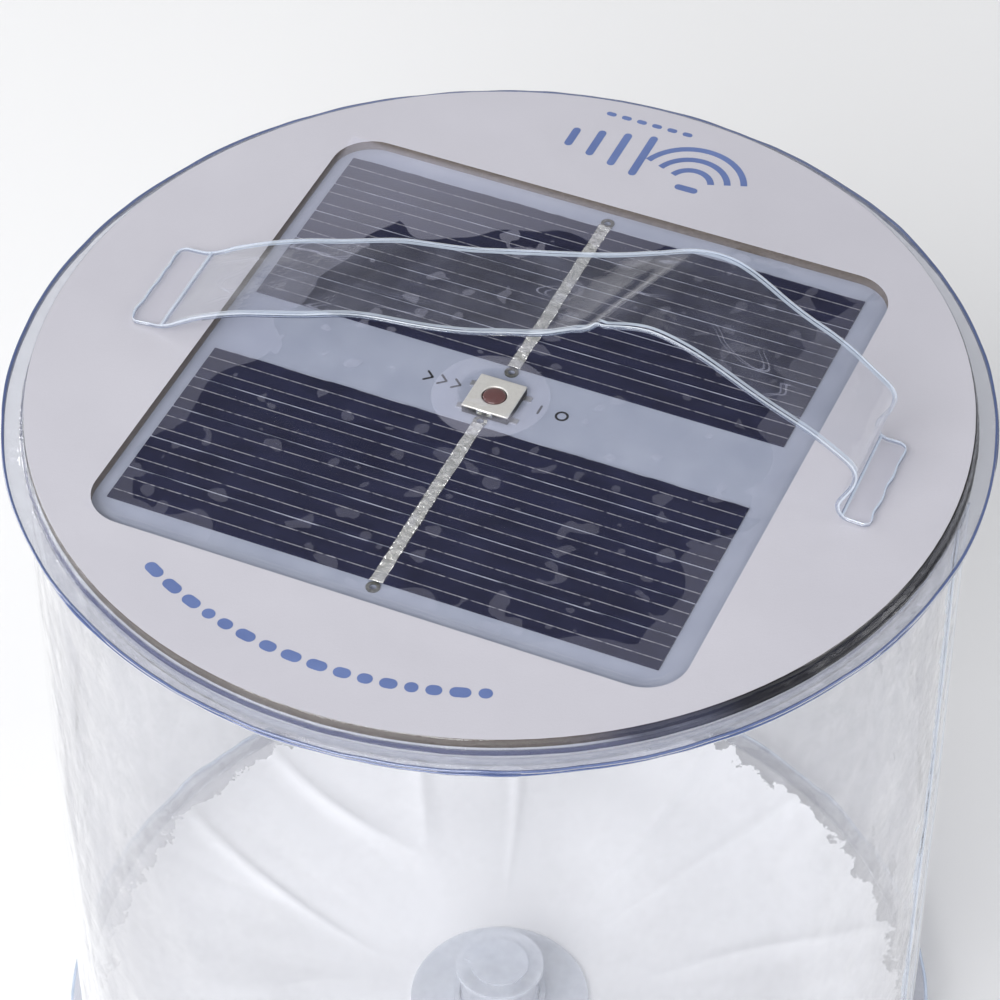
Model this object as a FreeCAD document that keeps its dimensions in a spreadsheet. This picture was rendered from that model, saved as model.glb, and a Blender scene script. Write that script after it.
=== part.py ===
import FreeCAD
import Part
import Sketcher
import math
import os
import re

# Inflatable solar lantern, in millimetres.
# Origin: centre of the base, on the surface the lantern stands on. +Z is up, +X runs along the
# carry strap, -Y is the front. The lantern is modelled inflated.

DIMENSIONS = [
    # air chamber
    ("wall_radius", 60.2, "outside of the clear wall"),
    ("wall_gauge", 0.3, "wall film"),
    ("seam_radius", 62.5, "outside of the welded rims"),
    ("seam_inner", 59.7, "inside of the welded rims"),
    ("seam_thick", 0.9, "welded rim"),
    ("rim_drop", 3.0, "underside of the top rim below the printed board's top"),
    ("base_rise", 2.6, "underside of the bottom rim above the floor"),
    ("base_flat", 42.0, "radius of the base that lies flat"),
    ("base_gauge", 0.4, "base film"),
    ("lap_angle", 1.5, "place of the wall's lap seam, degrees from +X"),
    ("lap_span", 5.0, "width of the lap seam, degrees"),
    # printed board and its window
    ("deck_height", 122.0, "top of the printed board"),
    ("board_thick", 1.4, "printed board"),
    ("board_radius", 59.4, "printed board"),
    ("window_length", 78.0, "window along X"),
    ("window_width", 78.8, "window along Y"),
    ("window_corner", 5.5, "window corner radius"),
    ("window_x", 0.5, "window centre"),
    ("window_y", -1.15, "window centre"),
    # solar panel
    ("panel_thick", 1.6, "panel circuit board"),
    ("panel_margin", 1.2, "panel board beyond the window, each side"),
    ("cell_thick", 0.2, "cell strip"),
    ("strip_length", 72.6, "cell strip along X"),
    ("strip_width", 5.7, "cell strip along Y"),
    ("strip_pitch", 5.96, "strip to strip"),
    ("strip_count", 5, "strips in a bank"),
    ("bank_inner", 5.9, "first strip's edge from the panel's middle line"),
    ("cells_x", -0.35, "centre of the cells"),
    ("cells_y", -0.36, "centre of the cells"),
    ("ribbon_width", 2.1, "tabbing ribbon"),
    ("ribbon_thick", 0.15, "tabbing ribbon"),
    ("hole_outer_y", 36.5, "plated holes beyond the strips"),
    ("hole_inner_y", 4.9, "plated holes between the banks"),
    ("hole_radius", 0.45, "plated hole"),
    ("hole_land", 0.9, "land around a plated hole"),
    ("coat_thick", 0.1, "clear coat above the cells"),
    # switch
    ("switch_x", -0.1, "switch centre"),
    ("switch_y", -1.41, "switch centre"),
    ("switch_size", 6.3, "side of the switch"),
    ("switch_height", 1.0, "switch base"),
    ("cover_thick", 0.3, "switch cover"),
    ("cover_skirt", 0.6, "side tabs of the cover"),
    ("plunger_radius", 1.5, "switch plunger"),
    ("plunger_foot", 1.8, "collar that keeps the plunger in"),
    ("plunger_proud", 0.2, "plunger above the cover"),
    ("plunger_gap", 0.15, "clearance round the plunger"),
    ("well_radius", 2.05, "well in the switch base"),
    ("well_depth", 0.85, "well in the switch base"),
    # top film
    ("film_gauge", 0.2, "film over the board"),
    ("film_slope", 1.5, "run of the film down to the panel"),
    ("tent_base", 7.5, "film tent round the switch, at the panel"),
    ("tent_top", 4.6, "film tent round the switch, at its top"),
    ("tent_x", -0.75, "centre of the tent at the panel"),
    ("tent_y", -1.06, "centre of the tent at the panel"),
    # back of the module
    ("plate_radius", 59.2, "white back plate"),
    ("plate_thick", 3.0, "white back plate"),
    ("panel_play", 0.2, "clearance round the panel in the plate"),
    ("bay_hole", 27.0, "opening in the plate over the battery"),
    ("bay_radius", 29.0, "battery cover"),
    ("bay_depth", 6.2, "battery cover below the plate"),
    ("bay_wall", 1.2, "battery cover"),
    ("battery_length", 40.0, "pouch cell"),
    ("battery_width", 30.0, "pouch cell"),
    ("battery_thick", 5.0, "pouch cell"),
    ("tape_thick", 1.0, "foam tape"),
    ("lead_radius", 0.6, "insulated battery lead"),
    ("lead_y", 8.0, "battery leads beside the middle line"),
    ("led_board_outer", 45.0, "ring board"),
    ("led_board_inner", 30.0, "ring board"),
    ("led_board_thick", 1.2, "ring board"),
    ("led_ring", 39.0, "circle of the LEDs"),
    ("led_count", 10, "LEDs"),
    ("led_length", 3.5, "LED package"),
    ("led_width", 2.8, "LED package"),
    ("led_height", 1.2, "LED package"),
    ("resistor_ring", 34.0, "circle of the resistors"),
    ("pin_radius", 0.4, "link pins"),
    ("pin_place", 32.5, "link pins along X"),
    ("pin_depth", 0.8, "end of the link pins below the panel's face"),
    ("barrier_gauge", 0.2, "inner film"),
    # valve
    ("valve_flange_radius", 13.0, "valve flange"),
    ("valve_flange_thick", 0.6, "valve flange"),
    ("valve_hole", 5.9, "hole that the neck slides in"),
    ("valve_collar", 6.7, "collar round the hole"),
    ("valve_collar_top", 2.2, "top of the collar above the floor"),
    ("neck_radius", 5.7, "valve neck"),
    ("neck_bore", 3.15, "bore of the valve neck"),
    ("neck_low", 1.05, "outer end of the neck above the floor"),
    ("neck_high", 8.4, "inner end of the neck above the floor"),
    ("neck_lip", 6.4, "stop lip at the neck's inner end"),
    ("neck_lip_thick", 0.6, "stop lip"),
    ("plug_head", 4.4, "plug head"),
    ("plug_low", 0.1, "plug head above the floor"),
    ("plug_high", 1.0, "top of the plug head"),
    ("plug_root", 3.0, "plug stub at the head"),
    ("plug_tip", 2.2, "plug stub at its tip"),
    ("plug_reach", 2.5, "length of the plug stub"),
    ("tether_end", 5.2, "end of the plug's tether, from the axis"),
    ("tether_width", 3.0, "plug tether"),
    ("flap_radius", 4.2, "check flap"),
    ("flap_thick", 0.3, "check flap"),
    ("flap_hinge", 5.0, "hinge line of the check flap, from the axis"),
    # strap
    ("strap_width", 15.5, "strap"),
    ("strap_thick", 0.6, "strap"),
    ("strap_turn", 1.5, "slant of the strap across the top, degrees"),
    ("strap_left", -44.5, "inner edge of the left weld"),
    ("strap_right", 46.5, "inner edge of the right weld"),
    ("pad_left_length", 4.8, "left weld"),
    ("pad_right_length", 4.1, "right weld"),
    ("grip_left", -10.0, "left end of the part that the fingers lift"),
    ("grip_right", 30.0, "right end of the part that the fingers lift"),
    ("pad_gap", 0.2, "gap between a weld and the band"),
    ("grip_gap", 0.1, "gap between the grip and the spans"),
]

NAMES = {alias: "Dims." + alias for alias, _, _ in DIMENSIONS}

# The strap's line from the left weld to the right one: along X, and above the printed board.
STRAP_ROUTE = [
    (-44.5, 0.6), (-41.0, 2.5), (-35.3, 5.5), (-24.0, 9.5), (-16.0, 12.1), (-10.0, 12.8),
    (-3.0, 13.9), (4.0, 15.8), (11.0, 18.3), (18.0, 21.4), (24.0, 22.0), (29.5, 19.8),
    (34.0, 17.0), (40.0, 13.9), (45.0, 11.1), (48.1, 8.0), (46.8, 4.6), (45.6, 2.1),
    (46.5, 0.6),
]

# Levels that more than one sub-part uses
BOARD_LOW = "deck_height - board_thick"
CELL_TOP = "deck_height - board_thick + cell_thick"
COAT_TOP = "deck_height - board_thick + cell_thick + ribbon_thick + coat_thick"
PANEL_LOW = "deck_height - board_thick - panel_thick"
PLATE_LOW = "deck_height - board_thick - plate_thick"
RIM_LOW = "deck_height - rim_drop"
RIM_TOP = "deck_height - rim_drop + seam_thick"
SWITCH_TOP = "deck_height - board_thick + switch_height"
PLUNGER_TOP = "deck_height - board_thick + switch_height + cover_thick + plunger_proud"
FILM_TOP = "deck_height + film_gauge"
LED_BOARD_LOW = "deck_height - board_thick - plate_thick - led_board_thick"

doc = FreeCAD.newDocument("solar_lantern")
sheet = doc.addObject("Spreadsheet::Sheet", "Dims")
sub_parts = []


def fill_sheet():
    for row, (alias, number, note) in enumerate(DIMENSIONS, start=1):
        sheet.set(f"A{row}", str(number))
        sheet.set(f"B{row}", note)
        sheet.setAlias(f"A{row}", alias)
    doc.recompute()


def cells(text):
    """The expression for a text of aliases, such as 'deck_height - board_thick'."""
    return re.sub(r"[a-z_]+", lambda word: NAMES.get(word.group(0), word.group(0)), str(text))


def size(text):
    """What an expression comes to, in millimetres."""
    return float(sheet.evalExpression(cells(text)))


def finished(item, label):
    """Marks an object as a sub-part: its label names its file."""
    item.Label = label
    sub_parts.append(item)
    return item


def new_body(name):
    return doc.addObject("PartDesign::Body", name)


def new_sketch(body, role, level="0"):
    """A sketch on one of the body's own origin planes, level above it."""
    sketch = body.newObject("Sketcher::SketchObject", body.Name + "_sketch")
    plane = next(item for item in body.Origin.OriginFeatures if item.Role == role)
    sketch.AttachmentSupport = [(plane, "")]
    sketch.MapMode = "FlatFace"
    sketch.setExpression("AttachmentOffset.Base.z", cells(level))
    return sketch


def pin_point(sketch, edge, end, x_text, y_text):
    """Ties a point of a sketch edge to the sheet."""
    axes = (("DistanceX", -2, x_text), ("DistanceY", -1, y_text))
    for kind, axis, text in axes:
        if str(text) == "0":
            sketch.addConstraint(Sketcher.Constraint("PointOnObject", edge, end, axis))
            continue
        index = sketch.addConstraint(Sketcher.Constraint(kind, -1, 1, edge, end, size(text)))
        sketch.setExpression(f"Constraints[{index}]", cells(text))


def draw_outline(sketch, corners):
    """A closed outline. Each corner is (x, y), or (x, y, radius) where the edge that leaves it
    is an arc, bowed to the right of its way, or to the left after a minus sign."""
    points = [FreeCAD.Vector(size(c[0]), size(c[1]), 0) for c in corners]
    starts = []
    for i, corner in enumerate(corners):
        first, last = points[i], points[(i + 1) % len(points)]
        if len(corner) == 2:
            edge = sketch.addGeometry(Part.LineSegment(first, last))
            starts.append((edge, 1, 2))
            continue
        radius = size(corner[2])
        chord = last - first
        sag = abs(radius) - math.sqrt(radius ** 2 - (chord.Length / 2) ** 2)
        right = FreeCAD.Vector(chord.y, -chord.x, 0).normalize()
        middle = (first + last) / 2 + right * math.copysign(sag, radius)
        edge = sketch.addGeometry(Part.Arc(first, middle, last))
        forward = (sketch.getPoint(edge, 1) - first).Length < 1e-6
        starts.append((edge, 1, 2) if forward else (edge, 2, 1))
    for i, (edge, start, end) in enumerate(starts):
        following, its_start, _ = starts[(i + 1) % len(starts)]
        sketch.addConstraint(Sketcher.Constraint("Coincident", edge, end, following, its_start))
    for corner, (edge, start, _) in zip(corners, starts):
        pin_point(sketch, edge, start, corner[0], corner[1])
        if len(corner) == 3:
            radius = abs(size(corner[2]))
            index = sketch.addConstraint(Sketcher.Constraint("Radius", edge, radius))
            sketch.setExpression(f"Constraints[{index}]", cells(corner[2].lstrip("-")))


def draw_circle(sketch, x_text, y_text, radius_text):
    centre = FreeCAD.Vector(size(x_text), size(y_text), 0)
    circle = Part.Circle(centre, FreeCAD.Vector(0, 0, 1), size(radius_text))
    edge = sketch.addGeometry(circle)
    pin_point(sketch, edge, 3, x_text, y_text)
    index = sketch.addConstraint(Sketcher.Constraint("Radius", edge, size(radius_text)))
    sketch.setExpression(f"Constraints[{index}]", cells(radius_text))


def draw_rectangle(sketch, x_text, y_text, length, width, corner=None):
    """A rectangle about a centre, with round corners if a corner radius is given."""
    corner = corner and f"({corner})"
    left, right = f"{x_text} - ({length}) / 2", f"{x_text} + ({length}) / 2"
    low, high = f"{y_text} - ({width}) / 2", f"{y_text} + ({width}) / 2"
    if corner is None:
        draw_outline(sketch, [(left, low), (right, low), (right, high), (left, high)])
        return
    draw_outline(sketch, [
        (f"{left} + {corner}", low), (f"{right} - {corner}", low, corner),
        (right, f"{low} + {corner}"), (right, f"{high} - {corner}", corner),
        (f"{right} - {corner}", high), (f"{left} + {corner}", high, corner),
        (left, f"{high} - {corner}"), (left, f"{low} + {corner}", corner),
    ])


def revolve(name, corners, label=None, turn="360"):
    """A body turned about Z from an outline of (radius, height) corners."""
    body = new_body(name)
    sketch = new_sketch(body, "XZ_Plane")
    draw_outline(sketch, corners)
    feature = body.newObject("PartDesign::Revolution", name + "_turn")
    feature.Profile = sketch
    feature.ReferenceAxis = (sketch, ["V_Axis"])
    feature.setExpression("Angle", cells(turn))
    body.Tip = feature
    doc.recompute()
    return finished(body, label) if label else body


def pad(body, sketch, height):
    """Raises a sketch upward."""
    feature = body.newObject("PartDesign::Pad", body.Name + "_pad")
    feature.Profile = sketch
    feature.setExpression("Length", cells(height))
    body.Tip = feature
    doc.recompute()
    return feature


def pocket(body, sketch, depth):
    """Cuts a sketch downward, and makes sure that something was cut."""
    before = body.Shape.Volume
    feature = body.newObject("PartDesign::Pocket", body.Name + "_pocket")
    feature.Profile = sketch
    feature.setExpression("Length", cells(depth))
    body.Tip = feature
    doc.recompute()
    if not body.Shape.Volume < before:
        raise RuntimeError(f"{body.Name}: the pocket cuts nothing")
    return feature


def loft(body, kind, first, second):
    feature = body.newObject(kind, body.Name + "_loft")
    feature.Profile = first
    feature.Sections = [second]
    feature.Ruled = True
    body.Tip = feature
    doc.recompute()
    return feature


def repeat_round(body, feature, count):
    """Repeats a feature evenly about Z."""
    axis = next(item for item in body.Origin.OriginFeatures if item.Role == "Z_Axis")
    pattern = body.newObject("PartDesign::PolarPattern", body.Name + "_pattern")
    pattern.Originals = [feature]
    pattern.Axis = (axis, [""])
    pattern.Angle = 360
    pattern.setExpression("Occurrences", cells(count))
    body.Tip = pattern
    doc.recompute()


def repeat_along_y(body, feature, length, count):
    """Repeats a feature towards +Y, over a length."""
    axis = next(item for item in body.Origin.OriginFeatures if item.Role == "Y_Axis")
    pattern = body.newObject("PartDesign::LinearPattern", body.Name + "_pattern")
    pattern.Originals = [feature]
    pattern.Direction = (axis, [""])
    pattern.setExpression("Length", cells(length))
    pattern.setExpression("Occurrences", cells(count))
    body.Tip = pattern
    doc.recompute()


def box(name, low_corner, sizes, label=None):
    """A Part::Box from its lowest corner and its sizes."""
    item = doc.addObject("Part::Box", name)
    for axis, text in zip("xyz", low_corner):
        item.setExpression(f"Placement.Base.{axis}", cells(text))
    for side, text in zip(("Length", "Width", "Height"), sizes):
        item.setExpression(side, cells(text))
    return finished(item, label) if label else item


def cylinder(name, centre, radius, height, label=None):
    """An upright Part::Cylinder from the centre of its lower end."""
    item = doc.addObject("Part::Cylinder", name)
    for axis, text in zip("xyz", centre):
        item.setExpression(f"Placement.Base.{axis}", cells(text))
    item.setExpression("Radius", cells(radius))
    item.setExpression("Height", cells(height))
    return finished(item, label) if label else item


def cut(name, base, tool, label=None):
    item = doc.addObject("Part::Cut", name)
    item.Base = base
    item.Tool = tool
    doc.recompute()
    if not item.Shape.Volume < base.Shape.Volume:
        raise RuntimeError(f"{name}: the cut removes nothing")
    return finished(item, label) if label else item


def joined(name, kind, members, label=None):
    """Several objects as one: a Part::Compound or a Part::MultiFuse."""
    item = doc.addObject(kind, name)
    links = "Links" if kind == "Part::Compound" else "Shapes"
    setattr(item, links, members)
    doc.recompute()
    return finished(item, label) if label else item


def make_air_chamber():
    """The inflated cylinder: wall, lap seam, base film and the two welded rims."""
    for label, low in (("top_seam_ring", RIM_LOW), ("bottom_seam_ring", "base_rise")):
        high = f"{low} + seam_thick"
        bow = "seam_thick * 0.6"
        revolve(label, [("seam_inner", low), ("seam_radius - 0.3", low, bow),
                        ("seam_radius - 0.3", high), ("seam_inner", high)], label)
    wall_low, inside = "base_rise + seam_thick", "wall_radius - wall_gauge"
    revolve("side_wall", [(inside, wall_low), ("wall_radius", wall_low),
                          ("wall_radius", RIM_LOW), (inside, RIM_LOW)], "side_wall")
    lap_outside = "wall_radius + wall_gauge"
    lap = revolve("wall_lap_seam", [("wall_radius", wall_low), (lap_outside, wall_low),
                                    (lap_outside, RIM_LOW), ("wall_radius", RIM_LOW)],
                  "wall_lap_seam", turn="lap_span")
    lap.setExpression("Placement.Rotation.Angle", cells("lap_angle"))
    # the base bows down from the rim to a flat that the lantern stands on
    edge, bow = "wall_radius", "70"
    revolve("bottom_film", [("valve_hole", "0"), ("base_flat", "0", bow),
                            (edge, "base_rise - base_gauge"), (edge, "base_rise"),
                            ("wall_radius - 1", "base_rise", "-" + bow),
                            ("base_flat", "base_gauge"), ("valve_hole", "base_gauge")],
            "bottom_film")


def make_valve():
    """Push-in valve in the middle of the base: flange, sliding neck, tethered plug, flap."""
    flange_top = "base_gauge + valve_flange_thick"
    revolve("valve_flange", [
        ("valve_hole", "base_gauge"), ("valve_flange_radius", "base_gauge"),
        ("valve_flange_radius", flange_top), ("valve_collar", flange_top),
        ("valve_collar", "valve_collar_top"), ("valve_hole", "valve_collar_top")],
        "valve_flange")
    lip_low = "neck_high - neck_lip_thick"
    revolve("valve_neck", [
        ("neck_bore", "neck_low"), ("neck_radius", "neck_low"), ("neck_radius", lip_low),
        ("neck_lip", lip_low), ("neck_lip", "neck_high"), ("neck_bore", "neck_high")],
        "valve_neck")
    head = revolve("plug_body", [
        ("0", "plug_low"), ("plug_head", "plug_low"), ("plug_head", "plug_high"),
        ("plug_root", "plug_high"), ("plug_tip", "plug_high + plug_reach"),
        ("0", "plug_high + plug_reach")])
    tether = box("plug_tether", ("plug_head - 0.4", "0 - tether_width / 2", "plug_low + 0.3"),
                 ("tether_end - plug_head + 0.4", "tether_width", "0.4"))
    joined("valve_plug", "Part::MultiFuse", [head, tether], "valve_plug")
    lift = "neck_high + 0.02"
    disc = cylinder("flap_disc", ("0", "0", lift), "flap_radius", "flap_thick")
    tab = box("flap_tab", ("0 - flap_hinge", "-1.5", lift), ("2", "3", "flap_thick"))
    joined("valve_flap", "Part::MultiFuse", [disc, tab], "valve_flap")


def make_face_board():
    """Printed board with its rectangular window."""
    body = new_body("face_board")
    disc = new_sketch(body, "XY_Plane", BOARD_LOW)
    draw_circle(disc, "0", "0", "board_radius")
    pad(body, disc, "board_thick")
    window = new_sketch(body, "XY_Plane", "deck_height")
    draw_rectangle(window, "window_x", "window_y", "window_length", "window_width",
                   "window_corner")
    pocket(body, window, "board_thick")
    finished(body, "face_board")


def ribbon_holes():
    """The centres of the four plated holes: outer and inner end of each bank's ribbon."""
    return [("cells_x", f"cells_y {sign} {place}")
            for sign in "+-" for place in ("hole_outer_y", "hole_inner_y")]


def make_panel():
    """Solar panel: circuit board, two banks of cell strips, ribbons, plated holes, coat."""
    board = new_body("panel_board")
    outline = new_sketch(board, "XY_Plane", PANEL_LOW)
    draw_rectangle(outline, "window_x", "window_y", "window_length + 2 * panel_margin",
                   "window_width + 2 * panel_margin", "3")
    pad(board, outline, "panel_thick")
    drills = new_sketch(board, "XY_Plane", BOARD_LOW)
    for x, y in ribbon_holes():
        draw_circle(drills, x, y, "hole_radius")
    pocket(board, drills, "panel_thick")
    sockets = new_sketch(board, "XY_Plane", f"{BOARD_LOW} - pin_depth")
    for x in ("pin_place", "0 - pin_place"):
        draw_circle(sockets, x, "0", "pin_radius + 0.1")
    pocket(board, sockets, "panel_thick - pin_depth")
    finished(board, "panel_board")

    lands = new_body("plated_holes")
    rings = new_sketch(lands, "XY_Plane", BOARD_LOW)
    for x, y in ribbon_holes():
        draw_circle(rings, x, y, "hole_land")
        draw_circle(rings, x, y, "hole_radius")
    pad(lands, rings, "0.15")
    finished(lands, "plated_holes")

    banks = {"rear": "cells_y + bank_inner",
             "front": "cells_y - bank_inner - strip_width - strip_pitch * (strip_count - 1)"}
    tools = [lands]
    for bank, first_low in banks.items():
        middle = f"{first_low} + strip_width / 2"
        spread = "strip_pitch * (strip_count - 1)"
        strips = new_body("cell_strips_" + bank)
        strip = new_sketch(strips, "XY_Plane", BOARD_LOW)
        draw_rectangle(strip, "cells_x", middle, "strip_length", "strip_width")
        repeat_along_y(strips, pad(strips, strip, "cell_thick"), spread, "strip_count")
        finished(strips, "cell_strips_" + bank)
        ribbons = new_body("ribbon_" + bank)
        ribbon = new_sketch(ribbons, "XY_Plane", CELL_TOP)
        draw_rectangle(ribbon, "cells_x", middle, "ribbon_width", "strip_width - 0.4")
        repeat_along_y(ribbons, pad(ribbons, ribbon, "ribbon_thick"), spread, "strip_count")
        finished(ribbons, "ribbon_" + bank)
        tools += [strips, ribbons]

    coat = new_body("coat_block")
    layer = new_sketch(coat, "XY_Plane", BOARD_LOW)
    draw_rectangle(layer, "window_x", "window_y", "window_length - film_slope",
                   "window_width - film_slope", "window_corner")
    pad(coat, layer, "cell_thick + ribbon_thick + coat_thick")
    reach_x, reach_y = "switch_size + 2.4", "switch_size + 0.4"
    tools.append(box("coat_gap", (f"switch_x - ({reach_x}) / 2", f"switch_y - ({reach_y}) / 2",
                                  BOARD_LOW), (reach_x, reach_y, "2")))
    cut("panel_coating", coat, joined("coat_tools", "Part::Compound", tools), "panel_coating")


def make_switch():
    """Push switch on the panel board: base with a well, dome, plunger, cover, terminals."""
    base = new_body("switch_base")
    block = new_sketch(base, "XY_Plane", BOARD_LOW)
    draw_rectangle(block, "switch_x", "switch_y", "switch_size - 0.4", "switch_size - 0.4", "0.4")
    pad(base, block, "switch_height")
    well = new_sketch(base, "XY_Plane", SWITCH_TOP)
    draw_circle(well, "switch_x", "switch_y", "well_radius")
    pocket(base, well, "well_depth")
    finished(base, "switch_base")

    cover = new_body("cover_plate")
    plate = new_sketch(cover, "XY_Plane", SWITCH_TOP)
    draw_rectangle(plate, "switch_x", "switch_y", "switch_size", "switch_size", "0.3")
    pad(cover, plate, "cover_thick")
    opening = new_sketch(cover, "XY_Plane", f"{SWITCH_TOP} + cover_thick")
    draw_circle(opening, "switch_x", "switch_y", "plunger_radius + plunger_gap")
    pocket(cover, opening, "cover_thick")
    tabs = [box(f"cover_tab_{side}", ("switch_x - 1.2", f"switch_y {place}",
                                      f"{SWITCH_TOP} - cover_skirt"),
                ("2.4", "0.2", "cover_skirt"))
            for side, place in (("front", "- switch_size / 2"), ("rear", "+ switch_size / 2 - 0.2"))]
    joined("switch_cover_shell", "Part::MultiFuse", [cover] + tabs, "switch_cover")

    foot_low = f"{SWITCH_TOP} - 0.5"
    foot_high = f"{SWITCH_TOP} - 0.15"
    plunger = revolve("switch_plunger", [
        ("0", foot_low), ("plunger_foot", foot_low), ("plunger_foot", foot_high),
        ("plunger_radius", foot_high), ("plunger_radius", f"{PLUNGER_TOP} - 0.1"),
        ("plunger_radius - 0.1", PLUNGER_TOP), ("0", PLUNGER_TOP)], "switch_plunger")
    dome_low = f"{SWITCH_TOP} - well_depth"
    dome = revolve("switch_dome", [
        ("0", f"{foot_low} - 0.12"), ("1.0", f"{foot_low} - 0.12"), ("1.75", dome_low),
        ("1.9", dome_low), ("1.1", f"{foot_low} - 0.02"), ("0", f"{foot_low} - 0.02")],
        "switch_dome")
    for item in (plunger, dome):
        item.setExpression("Placement.Base.x", cells("switch_x"))
        item.setExpression("Placement.Base.y", cells("switch_y"))

    feet = [box(f"terminal_{i}", (f"switch_x {across}", f"switch_y {along}", BOARD_LOW),
                ("1.1", "0.8", "0.2"))
            for i, (across, along) in enumerate([
                ("- switch_size / 2 - 1", "- 2.6"), ("- switch_size / 2 - 1", "+ 1.8"),
                ("+ switch_size / 2 - 0.1", "- 2.6"), ("+ switch_size / 2 - 0.1", "+ 1.8")])]
    joined("switch_terminals", "Part::Compound", feet, "switch_terminals")


def make_film_former(name, lift, spread):
    """What lies under the top film: the board, the dip to the panel, the tent of the switch."""
    body = revolve(name, [("0", RIM_TOP), (f"wall_radius - 0.2 + {spread}", RIM_TOP),
                          (f"board_radius + 0.1 + {spread}", f"deck_height + {lift}"),
                          ("0", f"deck_height + {lift}")])
    upper = new_sketch(body, "XY_Plane", f"deck_height + {lift}")
    draw_rectangle(upper, "window_x", "window_y", "window_length", "window_width",
                   "window_corner")
    lower = new_sketch(body, "XY_Plane", f"{COAT_TOP} + {lift}")
    draw_rectangle(lower, "window_x", "window_y", "window_length - 2 * film_slope",
                   "window_width - 2 * film_slope", "window_corner - film_slope")
    loft(body, "PartDesign::SubtractiveLoft", upper, lower)
    foot = new_sketch(body, "XY_Plane", f"{COAT_TOP} + {lift}")
    draw_circle(foot, "tent_x", "tent_y", "tent_base")
    peak = new_sketch(body, "XY_Plane", f"{PLUNGER_TOP} + 0.1 + {lift}")
    draw_circle(peak, "switch_x", "switch_y", "tent_top")
    loft(body, "PartDesign::AdditiveLoft", foot, peak)
    return body


def make_films():
    """Clear film over the board and the panel, and the inner film behind the module."""
    under = make_film_former("film_under", "0", "0")
    over = make_film_former("film_over", "film_gauge", "0.3")
    cut("top_film", over, under, "top_film")
    corner, cover_low = "plate_radius + 0.25", f"{PLATE_LOW} - bay_depth"
    revolve("barrier_film", [
        ("0", f"{cover_low} - 0.5"), ("bay_radius + 1.3", f"{cover_low} - 0.5"),
        (f"{corner} + barrier_gauge", f"{PLATE_LOW} - 0.2"),
        (f"{corner} + barrier_gauge", RIM_LOW), (corner, RIM_LOW),
        (corner, f"{PLATE_LOW} - 0.05"),
        ("bay_radius + 1.2", f"{cover_low} - 0.5 + barrier_gauge"),
        ("0", f"{cover_low} - 0.5 + barrier_gauge")], "barrier_film")


def make_back_plate():
    """White plate behind the board: a pocket for the panel and an opening for the battery."""
    plate = new_body("back_plate")
    disc = new_sketch(plate, "XY_Plane", PLATE_LOW)
    draw_circle(disc, "0", "0", "plate_radius")
    pad(plate, disc, "plate_thick")
    seat = new_sketch(plate, "XY_Plane", BOARD_LOW)
    room = "2 * (panel_margin + panel_play)"
    draw_rectangle(seat, "window_x", "window_y", f"window_length + {room}",
                   f"window_width + {room}", "2.5")
    pocket(plate, seat, "panel_thick")
    openings = new_sketch(plate, "XY_Plane", PANEL_LOW)
    draw_circle(openings, "0", "0", "bay_hole")
    for x in ("pin_place", "0 - pin_place"):
        draw_circle(openings, x, "0", "pin_radius + 0.1")
    pocket(plate, openings, "plate_thick - panel_thick")
    finished(plate, "back_plate")


def make_battery():
    """Battery cover, pouch cell, foam tape, leads and charge controller."""
    floor, low = f"{PLATE_LOW} - bay_depth + bay_wall", f"{PLATE_LOW} - bay_depth"
    shoulder = f"{PLATE_LOW} - bay_depth + 1.5"
    revolve("battery_cover", [
        ("0", low), ("bay_radius - 1.5", low), ("bay_radius", shoulder),
        ("bay_radius", PLATE_LOW), ("bay_radius - bay_wall", PLATE_LOW),
        ("bay_radius - bay_wall", floor), ("0", floor)], "battery_cover")
    tape_low = f"{PANEL_LOW} - tape_thick"
    cell_low = f"{PANEL_LOW} - tape_thick - battery_thick"
    cell = new_body("battery")
    pouch = new_sketch(cell, "XY_Plane", cell_low)
    draw_rectangle(pouch, "0", "0", "battery_length", "battery_width", "2")
    pad(cell, pouch, "battery_thick")
    finished(cell, "battery")
    box("battery_tape", ("0 - battery_length / 2 + 4", "0 - battery_width / 2 + 5", tape_low),
        ("battery_length - 8", "battery_width - 10", "tape_thick"), "battery_tape")
    chip_low = f"{PANEL_LOW} - 1.1"
    box("charge_chip", ("battery_length / 2 + 1.4", "-2.5", chip_low), ("4", "5", "1.1"),
        "charge_chip")
    make_battery_leads(cell_low)


def make_battery_leads(cell_low):
    """Two short leads that leave the pouch cell's end and turn up to the panel board."""
    reach, radius, bend = size("battery_length") / 2, size("lead_radius"), 1.5
    middle, top = size(cell_low) + size("battery_thick") / 2, size(PANEL_LOW)
    solids = []
    for side in (-1, 1):
        y = side * size("lead_y")
        start = FreeCAD.Vector(reach, y, middle)
        turn = FreeCAD.Vector(reach + 1, y, middle)
        corner = FreeCAD.Vector(reach + 1 + bend, y, middle + bend)
        diagonal = bend * math.sqrt(0.5)
        on_arc = FreeCAD.Vector(reach + 1 + diagonal, y, middle + bend - diagonal)
        route = Part.Wire([Part.makeLine(start, turn), Part.Arc(turn, on_arc, corner).toShape(),
                           Part.makeLine(corner, FreeCAD.Vector(corner.x, y, top))])
        end_circle = Part.Wire(Part.makeCircle(radius, start, FreeCAD.Vector(1, 0, 0)))
        solids.append(route.makePipeShell([end_circle], True, False))
    leads = doc.addObject("Part::Feature", "battery_leads")
    leads.Shape = Part.makeCompound(solids)
    finished(leads, "battery_leads")


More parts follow.
